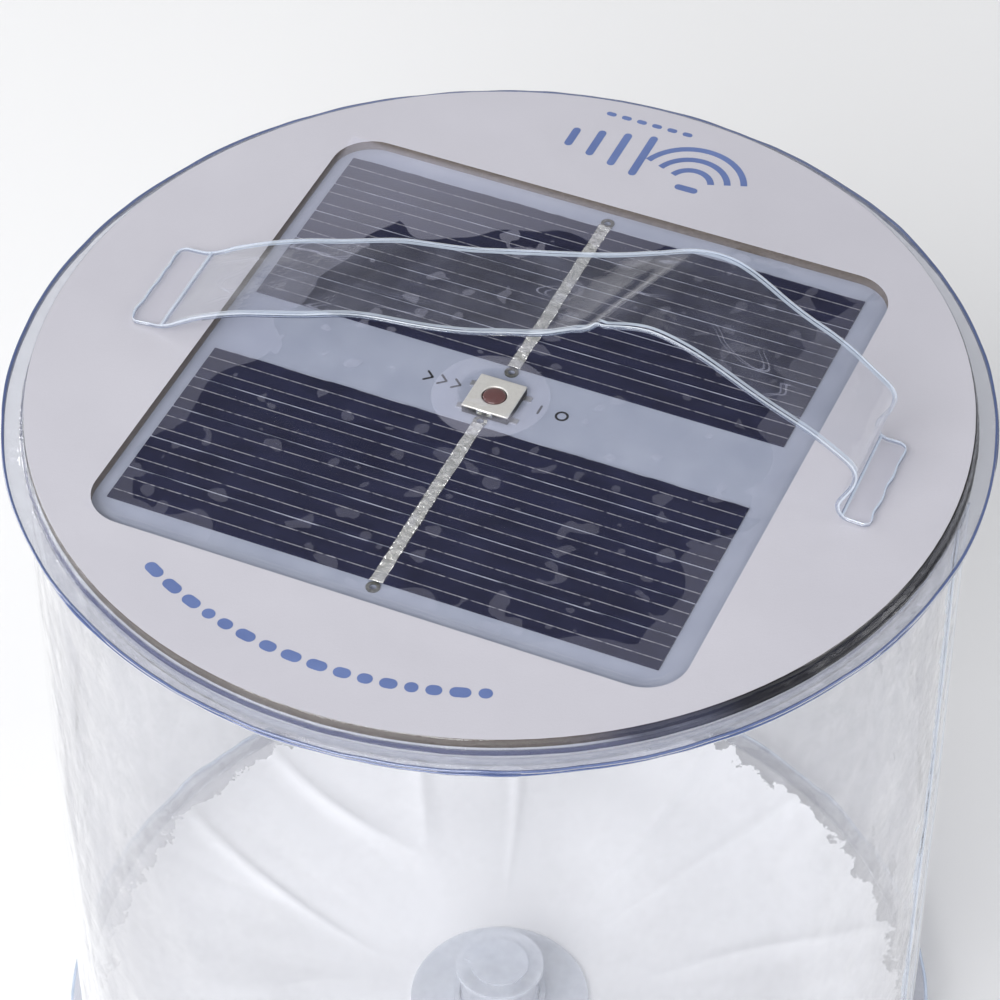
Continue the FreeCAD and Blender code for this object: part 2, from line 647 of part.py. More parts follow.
def make_lights():
    """Ring board below the plate, with its LEDs, resistors, driver chip and link pins."""
    board = new_body("led_board")
    ring = new_sketch(board, "XY_Plane", LED_BOARD_LOW)
    draw_circle(ring, "0", "0", "led_board_outer")
    draw_circle(ring, "0", "0", "led_board_inner")
    for x in ("pin_place", "0 - pin_place"):
        draw_circle(ring, x, "0", "pin_radius + 0.1")
    pad(board, ring, "led_board_thick")
    finished(board, "led_board")

    leds = new_body("leds")
    package = new_sketch(leds, "XY_Plane", f"{LED_BOARD_LOW} - led_height")
    draw_rectangle(package, "led_ring", "0", "led_width", "led_length")
    repeat_round(leds, pad(leds, package, "led_height"), "led_count")
    finished(leds, "leds")

    resistors = new_body("led_resistors")
    chip = new_sketch(resistors, "XY_Plane", f"{LED_BOARD_LOW} - 0.5")
    draw_rectangle(chip, "resistor_ring * cos(18)", "resistor_ring * sin(18)", "1.2", "2")
    repeat_round(resistors, pad(resistors, chip, "0.5"), "led_count")
    finished(resistors, "led_resistors")

    box("driver_chip", ("-2", "0 - led_ring - 3.2", f"{LED_BOARD_LOW} - 1.4"), ("4", "5", "1.4"),
        "driver_chip")
    pins = [cylinder(f"link_pin_{side}", (place, "0", LED_BOARD_LOW), "pin_radius",
                     "led_board_thick + plate_thick - pin_depth")
            for side, place in (("right", "pin_place"), ("left", "0 - pin_place"))]
    joined("link_pins", "Part::Compound", pins, "link_pins")


def strap_band():
    """The whole strap between its welds, as one solid band that follows STRAP_ROUTE."""
    half, width = size("strap_thick") / 2, size("strap_width")
    above = size("deck_height")
    line = Part.BSplineCurve()
    line.interpolate([FreeCAD.Vector(x, 0, z + above) for x, z in STRAP_ROUTE])
    first, last = line.FirstParameter, line.LastParameter
    stations = 4 * len(STRAP_ROUTE)
    sides = {1: [], -1: []}
    for i in range(stations + 1):
        at = first + (last - first) * i / stations
        point, along = line.value(at), line.tangent(at)[0]
        across = FreeCAD.Vector(-along.z, 0, along.x).normalize()
        for sign, side in sides.items():
            side.append(point + across * (sign * half))
    edges = []
    for side in sides.values():
        curve = Part.BSplineCurve()
        curve.interpolate(side)
        edges.append(curve.toShape())
    ends = [Part.makeLine(sides[1][i], sides[-1][i]) for i in (0, -1)]
    face = Part.Face(Part.Wire(Part.sortEdges(edges + ends)[0]))
    band = face.extrude(FreeCAD.Vector(0, width, 0))
    band.translate(FreeCAD.Vector(0, -width / 2, 0))
    return band


def make_strap():
    """Carry strap: two welded ends, and a band in three stretches that a finger can lift."""
    band = strap_band()
    reach, width = 200, size("strap_width")
    cuts = {"strap_left_span": (-reach, size("grip_left - grip_gap / 2")),
            "strap_grip": (size("grip_left + grip_gap / 2"), size("grip_right - grip_gap / 2")),
            "strap_right_span": (size("grip_right + grip_gap / 2"), reach)}
    swing = FreeCAD.Rotation(FreeCAD.Vector(0, 0, 1), size("strap_turn"))
    pivot = FreeCAD.Vector(size("strap_left"), 0, 0)
    slant = FreeCAD.Placement(pivot - swing.multVec(pivot), swing)
    for label, (low, high) in cuts.items():
        slab = Part.makeBox(high - low, 2 * width, 2 * reach, FreeCAD.Vector(low, -width, 0))
        stretch = doc.addObject("Part::Feature", label)
        stretch.Shape = band.common(slab)
        stretch.Placement = slant
        finished(stretch, label)
    for label, start, length in (
            ("strap_pad_left", "strap_left - pad_left_length - pad_gap", "pad_left_length"),
            ("strap_pad_right", "strap_right + pad_gap", "pad_right_length")):
        weld = new_body(label)
        patch = new_sketch(weld, "XY_Plane", FILM_TOP)
        draw_rectangle(patch, f"{start} + ({length}) / 2", "0", length, "strap_width", "1.2")
        pad(weld, patch, "strap_thick")
        weld.Placement = slant
        finished(weld, label)


def check_document():
    """Stops if any object failed, or if a sub-part has no valid solid."""
    doc.recompute()
    failed = [item.Name for item in doc.Objects if {"Invalid", "Error"} & set(item.State)]
    broken = [item.Label for item in sub_parts
              if item.Shape.isNull() or not item.Shape.isValid() or not item.Shape.Solids]
    if failed or broken:
        raise RuntimeError(f"failed objects {failed}, broken sub-parts {broken}")


def write_parts():
    os.makedirs("parts", exist_ok=True)
    for item in sub_parts:
        item.Shape.exportStep(f"parts/{item.Label}.step")
        print(item.Label, len(item.Shape.Solids), round(item.Shape.Volume, 1))


fill_sheet()
make_air_chamber()
make_valve()
make_face_board()
make_switch()
make_panel()
make_films()
make_back_plate()
make_battery()
make_lights()
make_strap()
check_document()
write_parts()
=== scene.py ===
import math

import bpy
import numpy as np
from mathutils import Matrix, Vector, noise


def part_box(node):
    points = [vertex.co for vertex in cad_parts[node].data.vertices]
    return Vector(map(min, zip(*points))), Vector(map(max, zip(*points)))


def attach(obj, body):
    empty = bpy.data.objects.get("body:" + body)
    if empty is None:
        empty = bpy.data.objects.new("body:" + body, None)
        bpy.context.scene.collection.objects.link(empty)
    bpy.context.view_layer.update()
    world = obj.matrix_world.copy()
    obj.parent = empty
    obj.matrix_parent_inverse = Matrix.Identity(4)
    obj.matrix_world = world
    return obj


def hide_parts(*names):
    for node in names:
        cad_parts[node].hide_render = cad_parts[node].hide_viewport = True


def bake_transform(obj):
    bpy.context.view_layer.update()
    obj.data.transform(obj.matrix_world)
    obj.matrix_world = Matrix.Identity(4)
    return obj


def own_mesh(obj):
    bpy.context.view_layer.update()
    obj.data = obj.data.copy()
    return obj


# Looks of the inflatable solar lantern. Lengths here are in millimetres and are turned into
# metres where meshes are made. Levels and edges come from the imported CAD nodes.

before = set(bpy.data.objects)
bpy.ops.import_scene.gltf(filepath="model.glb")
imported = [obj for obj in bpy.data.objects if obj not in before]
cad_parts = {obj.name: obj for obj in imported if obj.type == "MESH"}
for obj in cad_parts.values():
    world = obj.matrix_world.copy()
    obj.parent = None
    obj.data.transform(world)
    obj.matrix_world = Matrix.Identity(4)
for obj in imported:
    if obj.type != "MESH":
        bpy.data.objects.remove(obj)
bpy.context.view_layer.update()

MM = 0.001


def low(node):
    """A CAD node's lowest corner, in millimetres."""
    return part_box(node)[0] / MM


def high(node):
    """A CAD node's highest corner, in millimetres."""
    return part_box(node)[1] / MM


DECK = high("face_board").z
PANEL = low("face_board").z
CELL_TOP = high("cell_strips_front").z
COAT_TOP = high("panel_coating").z
FILM_LOW = DECK + 0.04
PLATE_LOW = low("back_plate").z
RIM_LOW = low("top_seam_ring").z
RIM_TOP = high("top_seam_ring").z
BASE_RIM_TOP = high("bottom_seam_ring").z
WALL_RADIUS = high("side_wall").x
BOARD_RADIUS = high("face_board").x
FILM_CORNER = high("back_plate").x + 0.3
SWITCH_LOW, SWITCH_HIGH = low("switch_cover"), high("switch_cover")
SWITCH_MIDDLE = (SWITCH_LOW + SWITCH_HIGH) / 2
BUTTON_TOP = high("switch_plunger").z

FILM_IOR = 1.5
# the middle of the wall's film, and how far it may dent before it meets the module
FILM_MIDDLE = WALL_RADIUS - 0.3
INWARD = FILM_MIDDLE - FILM_CORNER - 0.3
CELL_PITCH = 5.96
LED_CIRCLE = 39.0
STREAK_TURN = (0.6, 0.45, 0)

# the window in the printed board
WINDOW_MIDDLE = np.array([0.5, -1.15])
WINDOW_HALF = np.array([39.0, 39.4])
WINDOW_CORNER = 5.5

# the side on which the board's edge is painted dark as painted shade, where light falls least,
# whatever the lights do
PAINTED_SHADE_SIDE = math.radians(-8.0)

# where the top film leaves the panel round the switch
TENT_MIDDLE = np.array([-0.75, -1.06])
TENT_RADIUS = 7.5


# ---------------------------------------------------------------- materials

class Shader:
    """A material's node tree, built by short calls. Texture sizes are in millimetres."""

    def __init__(self, name):
        self.material = bpy.data.materials.new(name)
        self.material.use_nodes = True
        self.tree = self.material.node_tree
        self.tree.nodes.clear()
        self.place = self.node("TexCoord").outputs["Object"]
        geometry = self.node("NewGeometry")
        self.front = self.minus(1.0, geometry.outputs["Backfacing"])
        self.normal = geometry.outputs["Normal"]

    def node(self, kind, inputs=None, **settings):
        made = self.tree.nodes.new("ShaderNode" + kind)
        for key, value in settings.items():
            setattr(made, key, value)
        for key, value in (inputs or {}).items():
            self.feed(made.inputs[key], value)
        return made

    def feed(self, socket, value):
        if isinstance(value, bpy.types.NodeSocket):
            self.tree.links.new(value, socket)
        elif value is not None:
            if hasattr(socket.default_value, "__len__") and len(value) < len(socket.default_value):
                value = (*value, 1.0)
            socket.default_value = value

    def maths(self, operation, *values, clamp=False):
        made = self.node("Math", operation=operation, use_clamp=clamp)
        for socket, value in zip(made.inputs, values):
            self.feed(socket, value)
        return made.outputs[0]

    def times(self, *values):
        return self.maths("MULTIPLY", *values)

    def plus(self, *values):
        return self.maths("ADD", *values)

    def minus(self, *values):
        return self.maths("SUBTRACT", *values)

    def axis(self, name):
        """The place along one axis, in millimetres."""
        split = self.node("SeparateXYZ", {"Vector": self.place})
        return self.times(split.outputs[name], 1 / MM)

    def grain(self, size, detail=2.0, roughness=0.5, stretch=(1, 1, 1), turn=(0, 0, 0)):
        """Noise of a grain size, stretched by a factor along each axis, and turned."""
        spread = self.node("Mapping", {
            "Vector": self.place, "Scale": [size * MM * s for s in stretch], "Rotation": turn},
            vector_type="TEXTURE")
        return self.node("TexNoise", {
            "Vector": spread.outputs[0], "Scale": 1.0, "Detail": detail,
            "Roughness": roughness}).outputs["Fac"]

    def ramp(self, factor, *stops):
        """Colours or values along a factor, as (place, colour) stops."""
        made = self.node("ValToRGB", {"Fac": factor})
        elements = made.color_ramp.elements
        while len(elements) < len(stops):
            elements.new(0.5)
        for element, (place, value) in zip(elements, stops):
            element.position = place
            value = (value,) * 3 if isinstance(value, (int, float)) else value
            element.color = (*value, 1.0)
        return made.outputs["Color"]

    def step(self, factor, start, end):
        """0 below start and 1 above end."""
        return self.node("MapRange", {"Value": factor, "From Min": start, "From Max": end},
                         interpolation_type="SMOOTHSTEP").outputs[0]

    def blend(self, factor, first, second):
        made = self.node("Mix", data_type="RGBA")
        self.feed(made.inputs[0], factor)
        self.feed(made.inputs[6], first)
        self.feed(made.inputs[7], second)
        return made.outputs[2]

    def bump(self, height, depth, strength=1.0, normal=None):
        """A bumped normal. Depth is the height of 1.0, in millimetres."""
        return self.node("Bump", {"Height": height, "Distance": depth * MM, "Strength": strength,
                                  "Normal": normal}).outputs[0]

    def over(self, factor, under, upper):
        made = self.node("MixShader", {"Fac": factor})
        self.tree.links.new(under, made.inputs[1])
        self.tree.links.new(upper, made.inputs[2])
        return made.outputs[0]

    def away(self, x=0.0, y=0.0):
        """The distance from an upright line through x and y, in millimetres."""
        squares = [self.maths("POWER", self.minus(self.axis(name), float(at)), 2.0)
                   for name, at in (("X", x), ("Y", y))]
        return self.maths("SQRT", self.plus(*squares))

    def glossed(self, body, normal, gloss, rough):
        """A film's gloss over its body, on the face that meets the eye."""
        mirror = self.node("BsdfGlossy",
                           {"Color": (1, 1, 1), "Roughness": rough, "Normal": normal})
        share = self.node("Fresnel", {"IOR": FILM_IOR, "Normal": normal}).outputs[0]
        share = self.maths("MULTIPLY", self.times(share, gloss), self.front, clamp=True)
        return self.done(self.over(share, body, mirror.outputs[0]))

    def principled(self, **inputs):
        names = {key: key.replace("_", " ") for key in inputs}
        return self.node("BsdfPrincipled", {names[k]: v for k, v in inputs.items()}).outputs[0]

    def done(self, surface):
        out = self.node("OutputMaterial")
        self.tree.links.new(surface, out.inputs["Surface"])
        return self.material


def clear_film(name, tint, ripples, gloss=1.7, rough=0.05, milk=None,
               milk_colour=(0.9, 0.9, 0.92)):
    """Clear PVC film. Each sheet has two faces; the one that faces the eye mirrors for both.
    ripples: (size, depth, stretch, turn) of the bumps. milk: how cloudy, a value or a function."""
    s = Shader(name)
    normal = None
    for size, depth, *placing in ripples:
        normal = s.bump(s.grain(size, 3.0, 0.5, *placing), depth, 1.0, normal)
    body = s.node("BsdfTransparent", {"Color": tint}).outputs[0]
    if milk is not None:
        cloud = milk(s) if callable(milk) else milk
        cloud = s.times(cloud, s.front)
        body = s.over(cloud, body, s.node("BsdfDiffuse", {"Color": milk_colour}).outputs[0])
    return s.glossed(body, normal, gloss, rough)


def film_edge(name, colour, depth):
    """The cut edge of a film, where its blue tint gathers."""
    s = Shader(name)
    normal = s.bump(s.grain(1.5, 3.0), 0.05)
    body = s.over(depth, s.node("BsdfTransparent", {"Color": (0.86, 0.9, 0.97)}).outputs[0],
                  s.node("BsdfDiffuse", {"Color": colour}).outputs[0])
    return s.glossed(body, normal, 3.0, 0.08)


def fold_film():
    """The top film turned down the board's edge: dark blue at its foot, and painted near black all
    the way up on one side as painted shade."""
    s = Shader("film_fold")
    x, y = s.axis("X"), s.axis("Y")
    # painted shade: near black towards one side of the board's edge
    painted_shade = s.plus(s.times(x, math.cos(PAINTED_SHADE_SIDE) / BOARD_RADIUS),
                    s.times(y, math.sin(PAINTED_SHADE_SIDE) / BOARD_RADIUS))
    painted_shade = s.step(s.plus(painted_shade, s.times(s.grain(9.0, 2.0), 0.2)), 0.72, 1.02)
    foot = s.step(s.axis("Z"), PANEL + 0.1, PANEL - 0.3)
    depth = s.maths("MAXIMUM", s.times(painted_shade, 0.93), s.times(foot, 0.7))
    colour = s.blend(painted_shade, (0.07, 0.08, 0.16), (0.012, 0.012, 0.016))
    normal = s.bump(s.grain(1.5, 3.0), 0.05)
    body = s.over(depth, s.node("BsdfTransparent", {"Color": (0.95, 0.96, 0.98)}).outputs[0],
                  s.node("BsdfDiffuse", {"Color": colour}).outputs[0])
    return s.glossed(body, normal, 1.0, 0.08)


def strap_haze(s):
    """A light bloom, with a few thin wavy lines that run along the strap: painted highlights of
    its fine ridges.
    """
    bloom = s.times(s.step(s.grain(9.0, 3.0, 0.6), 0.35, 0.8), 0.04)
    flow = s.grain(4.5, 0.5, 0.5, (9, 1, 1))
    # painted highlights: thin bright wavy lines along the strap's ridges
    line = s.step(s.maths("ABSOLUTE", s.minus(flow, 0.5)), 0.009, 0.003)
    line = s.times(line, s.step(s.grain(14.0, 1.0), 0.48, 0.62))
    return s.plus(bloom, s.times(line, 0.22))


def wall_haze(s):
    """Cloudier where the film is seen at a slant, in soft patches and fine slanting streaks."""
    slant = s.node("Fresnel", {"IOR": FILM_IOR}).outputs[0]
    patches = s.times(s.grain(20.0, 2.0), 0.3)
    streaks = s.times(s.grain(4.0, 3.0, 0.6, (1, 1, 9), STREAK_TURN), 0.26)
    level = s.plus(s.times(slant, 2.2), s.plus(patches, streaks))
    level = s.minus(level, 0.37)
    return s.maths("MINIMUM", s.maths("MAXIMUM", level, 0.03), 0.42)


def base_haze(s):
    """A white base, with a jagged clear border where it turns up to the rim."""
    jags = s.times(s.minus(s.grain(3.2, 3.0, 0.65), 0.5), 10.0)
    inner = s.step(s.plus(s.away(), jags), 58.6, 58.0)
    tone = s.plus(s.times(s.step(s.grain(42.0, 1.0), 0.3, 0.65), 0.22), 0.68)
    return s.plus(s.times(inner, tone), 0.15)


def wet_out(s):
    """Where the top film doesn't touch what is under it: cloudy, in a wide uneven border, in
    scattered round patches and in the ring round the switch. The cloud is also brighter, and its
    border wider, towards the far left corner."""
    x, y = s.axis("X"), s.axis("Y")
    across = s.maths("ABSOLUTE", s.minus(x, float(WINDOW_MIDDLE[0])))
    along = s.maths("ABSOLUTE", s.minus(y, float(WINDOW_MIDDLE[1])))
    edge = s.maths("MAXIMUM", s.minus(across, float(WINDOW_HALF[0])),
                   s.minus(along, float(WINDOW_HALF[1])))
    inside = s.step(edge, -0.2, -1.2)
    # the cloud is brighter, and its border wider, towards the far left corner
    glow = s.step(s.away(-38.0, 36.0), 62.0, 4.0)
    reach = s.minus(s.times(s.grain(15.0, 1.5, 0.4), 32.0), 12.0)
    reach = s.plus(reach, s.times(glow, 9.0))
    border = s.step(s.plus(edge, reach), -0.15, 0.15)
    dots = s.plus(s.grain(2.5, 0.4, 0.4), s.times(s.grain(19.0, 1.0), 0.3))
    dots = s.step(dots, 0.83, 0.84)
    tent = s.step(s.away(*TENT_MIDDLE), TENT_RADIUS + 0.1, TENT_RADIUS - 0.15)
    clear = s.step(s.away(*SWITCH_MIDDLE.xy), 4.0, 5.0)
    tent = s.times(tent, clear)
    share = s.plus(s.times(glow, 0.12), 0.05)
    cloud = s.times(s.maths("MAXIMUM", border, dots), share)
    cloud = s.maths("MAXIMUM", cloud, s.times(tent, 0.13))
    return s.plus(s.times(cloud, inside), 0.004)


def board_print():
    """White printed card, with bare brown card at its cut edges."""
    s = Shader("printed_card")
    upright = s.node("SeparateXYZ", {"Vector": s.normal}).outputs["Z"]
    face = s.step(s.maths("ABSOLUTE", upright), 0.5, 0.8)
    white = s.ramp(s.grain(22.0, 3.0, 0.5), (0.3, (0.53, 0.52, 0.56)),
                   (0.7, (0.56, 0.55, 0.59)))
    fibres = s.grain(0.8, 3.0, 0.6, (1, 1, 0.15))
    brown = s.ramp(fibres, (0.3, (0.085, 0.068, 0.055)), (0.7, (0.18, 0.15, 0.125)))
    normal = s.bump(s.grain(0.35, 3.0, 0.6), 0.02)
    normal = s.bump(s.grain(14.0, 2.0), 0.25, 1.0, normal)
    return s.done(s.principled(Base_Color=s.blend(face, brown, white), Roughness=0.45,
                               Normal=normal))


def panel_laminate():
    """The panel's pale blue-white circuit board."""
    s = Shader("panel_laminate")
    tone = s.ramp(s.grain(6.0, 3.0), (0.3, (0.31, 0.34, 0.42)), (0.7, (0.36, 0.39, 0.47)))
    normal = s.bump(s.grain(0.25, 2.0), 0.01)
    return s.done(s.principled(Base_Color=tone, Roughness=0.4, Normal=normal))


def solar_cell():
    """Dark blue silicon with two thin silver fingers on each strip."""
    s = Shader("solar_cell")
    rear = high("cell_strips_rear").y
    back = s.minus(rear, s.axis("Y"))
    front_shift = rear - high("cell_strips_front").y
    front_bank = s.times(s.maths("GREATER_THAN", back, front_shift - 1.0), front_shift)
    within = s.maths("MODULO", s.plus(s.minus(back, front_bank), 1e-3), CELL_PITCH)
    wander = s.times(s.minus(s.grain(12.0, 1.0), 0.5), 0.12)
    within = s.plus(within, wander)
    lines = None
    for place in (1.85, 4.2):  # the fingers
        off = s.maths("ABSOLUTE", s.minus(within, place))
        line = s.step(off, 0.11, 0.05)
        lines = line if lines is None else s.maths("MAXIMUM", lines, line)
    broken = s.times(lines, s.step(s.grain(0.6, 2.0), 0.25, 0.55))
    crystal = s.ramp(s.grain(2.5, 3.0, 0.6, (2.5, 1, 1)),
                     (0.3, (0.009, 0.010, 0.030)), (0.7, (0.017, 0.019, 0.050)))
    lip = s.step(within, 0.16, 0.05)
    lip = s.times(lip, s.step(s.grain(5.0, 3.0), 0.35, 0.6))
    crystal = s.blend(lip, crystal, (0.42, 0.44, 0.52))
    colour = s.blend(broken, crystal, (0.26, 0.26, 0.29))
    rough = s.minus(0.36, s.times(broken, 0.1))
    return s.done(s.principled(Base_Color=colour, Roughness=rough, Specular_IOR_Level=0.12,
                               Normal=s.bump(s.grain(0.2, 2.0), 0.006)))


def metal(name, light, dark, rough, grain=0.6, depth=0.02, shine=1.0):
    s = Shader(name)
    colour = s.ramp(s.grain(grain, 3.0, 0.6), (0.3, dark), (0.7, light))
    normal = s.bump(s.grain(grain, 3.0), depth)
    return s.done(s.principled(Base_Color=colour, Metallic=shine, Roughness=rough, Normal=normal))


def plastic(name, light, dark, rough, grain=1.2, depth=0.015, coat=0.0):
    """Moulded plastic, lacquer or card: a mottled colour with a fine surface."""
    s = Shader(name)
    colour = s.ramp(s.grain(grain * 6, 3.0, 0.55), (0.3, dark), (0.7, light))
    normal = s.bump(s.grain(grain * 0.3, 2.0), depth)
    return s.done(s.principled(Base_Color=colour, Roughness=rough, Normal=normal,
                               Coat_Weight=coat))


def valve_plastic():
    """Cloudy clear vinyl."""
    s = Shader("valve_vinyl")
    normal = s.bump(s.grain(1.2, 2.0), 0.02)
    shine = s.principled(Base_Color=(0.84, 0.86, 0.90), Roughness=0.22, Normal=normal)
    cloud = s.ramp(s.grain(3.0, 2.0), (0.3, 0.34), (0.7, 0.48))
    clear = s.node("BsdfTransparent", {"Color": (0.95, 0.96, 0.98)}).outputs[0]
    return s.done(s.over(cloud, clear, shine))


def led_material():
    """A white package with a yellow phosphor window underneath."""
    s = Shader("led")
    level = s.axis("Z")
    under = s.step(level, low("leds").z + 0.12, low("leds").z + 0.02)
    off = s.maths("ABSOLUTE", s.minus(s.away(), LED_CIRCLE))
    window = s.times(s.step(off, 1.15, 1.0), under)
    colour = s.blend(window, (0.8, 0.8, 0.78), (0.82, 0.62, 0.12))
    return s.done(s.principled(Base_Color=colour, Roughness=0.35,
                               Normal=s.bump(s.grain(0.3), 0.01)))


def make_materials():
    upright, along = (1, 1, 2.2), (1, 1, 7)
    return {
        "wall": clear_film("wall_film", (0.928, 0.930, 0.942),
                           [(20.0, 2.2, upright), (6.5, 0.3), (5.0, 0.4, along, STREAK_TURN)],
                           gloss=1.6, rough=0.05, milk=wall_haze,
                           milk_colour=(0.42, 0.42, 0.45)),
        "top": clear_film("top_film", (0.985, 0.985, 0.99), [(9.0, 0.06), (1.4, 0.006)],
                          gloss=0.4, rough=0.10, milk=wet_out, milk_colour=(0.82, 0.82, 0.98)),
        "rim": clear_film("rim_film", (0.93, 0.935, 0.955), [(4.0, 0.5), (1.2, 0.06)],
                          gloss=2.2, rough=0.06, milk=0.08),
        "strap": clear_film("strap_film", (0.985, 0.987, 0.992),
                            [(10.0, 0.35), (2.5, 0.03), (1.8, 0.10, (9, 1.5, 1.5))],
                            gloss=1.1, rough=0.03, milk=strap_haze,
                            milk_colour=(0.62, 0.64, 0.80)),
        "pad": clear_film("strap_weld_film", (0.995, 0.995, 0.998), [(4.0, 0.3), (1.5, 0.06)],
                          gloss=0.4, rough=0.08, milk=0.04, milk_colour=(0.95, 0.95, 1.0)),
        "base": clear_film("base_film", (0.95, 0.95, 0.96), [(12.0, 0.5)], gloss=0.9,
                           rough=0.22, milk=base_haze, milk_colour=(0.97, 0.97, 0.975)),
        "inner": clear_film("inner_film", (0.94, 0.95, 0.97), [(8.0, 0.4)], gloss=1.4),
        "coat": clear_film("clear_coat", (0.99, 0.99, 0.995), [(3.0, 0.02)], gloss=0.1,
                           rough=0.2),
        "edge": film_edge("film_edge", (0.70, 0.78, 0.88), 0.5),
        # painted shade: the lower strap band's edge, a darker copy of the film's edge
        "painted_shade_edge": film_edge("film_edge_shade", (0.20, 0.25, 0.36), 0.45),
        "rim_edge": film_edge("rim_edge", (0.075, 0.115, 0.28), 0.85),
        "fold": fold_film(),
        "card": board_print(),
        "laminate": panel_laminate(),
        "cell": solar_cell(),
        "solder": metal("solder", (0.97, 0.97, 0.93), (0.70, 0.70, 0.65), 0.18, 1.1, 0.6,
                        0.8),
        "plated": metal("plated_hole", (0.40, 0.40, 0.36), (0.16, 0.16, 0.13), 0.4, 0.5),
        "nickel": metal("nickel_cover", (0.88, 0.86, 0.80), (0.80, 0.78, 0.72), 0.4, 0.5, 0.01,
                        0.6),
        "tin": metal("tin_plating", (0.75, 0.75, 0.74), (0.6, 0.6, 0.6), 0.3),
        "black": plastic("black_nylon", (0.02, 0.02, 0.022), (0.012, 0.012, 0.013), 0.5),
        "button": plastic("button_red", (0.14, 0.052, 0.047), (0.10, 0.038, 0.035), 0.3,
                          coat=0.4),
        "plate": plastic("white_polystyrene", (0.80, 0.80, 0.81), (0.74, 0.74, 0.76), 0.4, 2.0),
        "solder_mask": plastic("white_solder_mask", (0.82, 0.83, 0.80), (0.76, 0.77, 0.74), 0.3),
        "led": led_material(),
        "chip": plastic("chip_epoxy", (0.03, 0.03, 0.03), (0.018, 0.018, 0.018), 0.5, 0.4),
        "foil": metal("pouch_foil", (0.8, 0.8, 0.82), (0.6, 0.6, 0.63), 0.35, 3.0, 0.15),
        "foam": plastic("foam_tape", (0.78, 0.78, 0.76), (0.6, 0.6, 0.58), 0.9, 0.5, 0.2),
        "lead": plastic("lead_jacket", (0.5, 0.03, 0.03), (0.36, 0.02, 0.02), 0.4),
        "vinyl": valve_plastic(),
        "blue_ink": plastic("blue_ink", (0.13, 0.19, 0.40), (0.10, 0.15, 0.34), 0.5),
        "black_ink": plastic("black_ink", (0.02, 0.02, 0.022), (0.012, 0.012, 0.014), 0.5),
    }


# ---------------------------------------------------------------- mesh tools

def smooth(value):
    value = np.clip(value, 0.0, 1.0)
    return value * value * (3 - 2 * value)


def ripple(points, size, seed, stretch=(1, 1, 1)):
    """Smooth noise from -1 to 1 at points in millimetres, with features of a size."""
    spread = np.asarray(points) / (size * np.array(stretch)) + seed * 17.31
    flat = spread.reshape(-1, 3)
    values = [noise.noise(Vector(p)) for p in flat]
    return np.array(values).reshape(spread.shape[:-1])


def make_piece(name, vertices, faces, materials, face_materials=None, flat=False):
    """A mesh object from millimetre vertices."""
    mesh = bpy.data.meshes.new(name)
    mesh.from_pydata((np.asarray(vertices) * MM).tolist(), [], faces)
    for material in materials:
        mesh.materials.append(material)
    if face_materials is not None:
        mesh.polygons.foreach_set("material_index", np.asarray(face_materials, dtype=np.int32))
    mesh.polygons.foreach_set("use_smooth", np.full(len(mesh.polygons), not flat))
    mesh.update()
    piece = bpy.data.objects.new(name, mesh)
    bpy.context.scene.collection.objects.link(piece)
    return piece


def sheet_normals(points, around=False):
    """The upward direction at each point of a grid of rows and columns."""
    along = np.gradient(points, axis=0)
    if around:
        across = (np.roll(points, -1, axis=1) - np.roll(points, 1, axis=1)) / 2
    else:
        across = np.gradient(points, axis=1)
    normals = np.cross(across, along)
    return normals / np.linalg.norm(normals, axis=2, keepdims=True)


def make_sheet(name, points, thickness, materials, around=False, pole=False, pick=None):
    """A thin closed sheet about a grid of points, rows by columns. around: the columns close
    in a ring. pole: the first row closes on its middle. pick(row, column) gives the material
    of each face; the open edges take that of the faces beside them."""
    rows, cols, _ = points.shape
    normals = sheet_normals(points, around)
    thick = np.broadcast_to(np.asarray(thickness, float), (rows, cols))[..., None]
    upper, lower = points + normals * thick / 2, points - normals * thick / 2
    vertices = np.concatenate([upper.reshape(-1, 3), lower.reshape(-1, 3)])
    top = np.arange(rows * cols).reshape(rows, cols)
    under = top + rows * cols
    span = cols if around else cols - 1
    after = (np.arange(span) + 1) % cols
    here = np.arange(span)
    groups, tags = [], []
    row_of, col_of = np.meshgrid(np.arange(rows - 1), here, indexing="ij")
    picked = np.zeros((rows - 1, span), int) if pick is None else pick(row_of, col_of)

    def add(quads, tag):
        groups.append(np.stack(quads, axis=-1).reshape(-1, 4))
        tags.append(np.asarray(tag).reshape(-1))

    add([top[:-1, here], top[:-1, after], top[1:, after], top[1:, here]], picked)
    add([under[:-1, here], under[1:, here], under[1:, after], under[:-1, after]], picked)
    if not pole:
        add([under[0, here], under[0, after], top[0, after], top[0, here]], picked[0])
    add([top[-1, here], top[-1, after], under[-1, after], under[-1, here]], picked[-1])
    if not around:
        add([under[:-1, 0], top[:-1, 0], top[1:, 0], under[1:, 0]], picked[:, 0])
        add([under[:-1, -1], under[1:, -1], top[1:, -1], top[:-1, -1]], picked[:, -1])
    faces = np.concatenate(groups).tolist()
    tags = np.concatenate(tags).tolist()
    if pole:
        middles = np.stack([upper[0].mean(axis=0), lower[0].mean(axis=0)])
        vertices = np.concatenate([vertices, middles])
        count = 2 * rows * cols
        faces += [[count, int(b), int(a)] for a, b in zip(top[0, here], top[0, after])]
        faces += [[count + 1, int(a), int(b)] for a, b in zip(under[0, here], under[0, after])]
        tags += [0] * (2 * span)
    return make_piece(name, vertices, faces, materials, tags)


def ring_points(radii, levels, segments):
    """A grid turned about Z: a row for each (radius, level), a column for each angle."""
    angles = np.arange(segments) * (2 * math.pi / segments)
    radii, levels = np.asarray(radii, float)[:, None], np.asarray(levels, float)[:, None]
    flat = np.ones((1, segments))
    return np.stack([radii * np.cos(angles), radii * np.sin(angles), levels * flat], axis=-1)


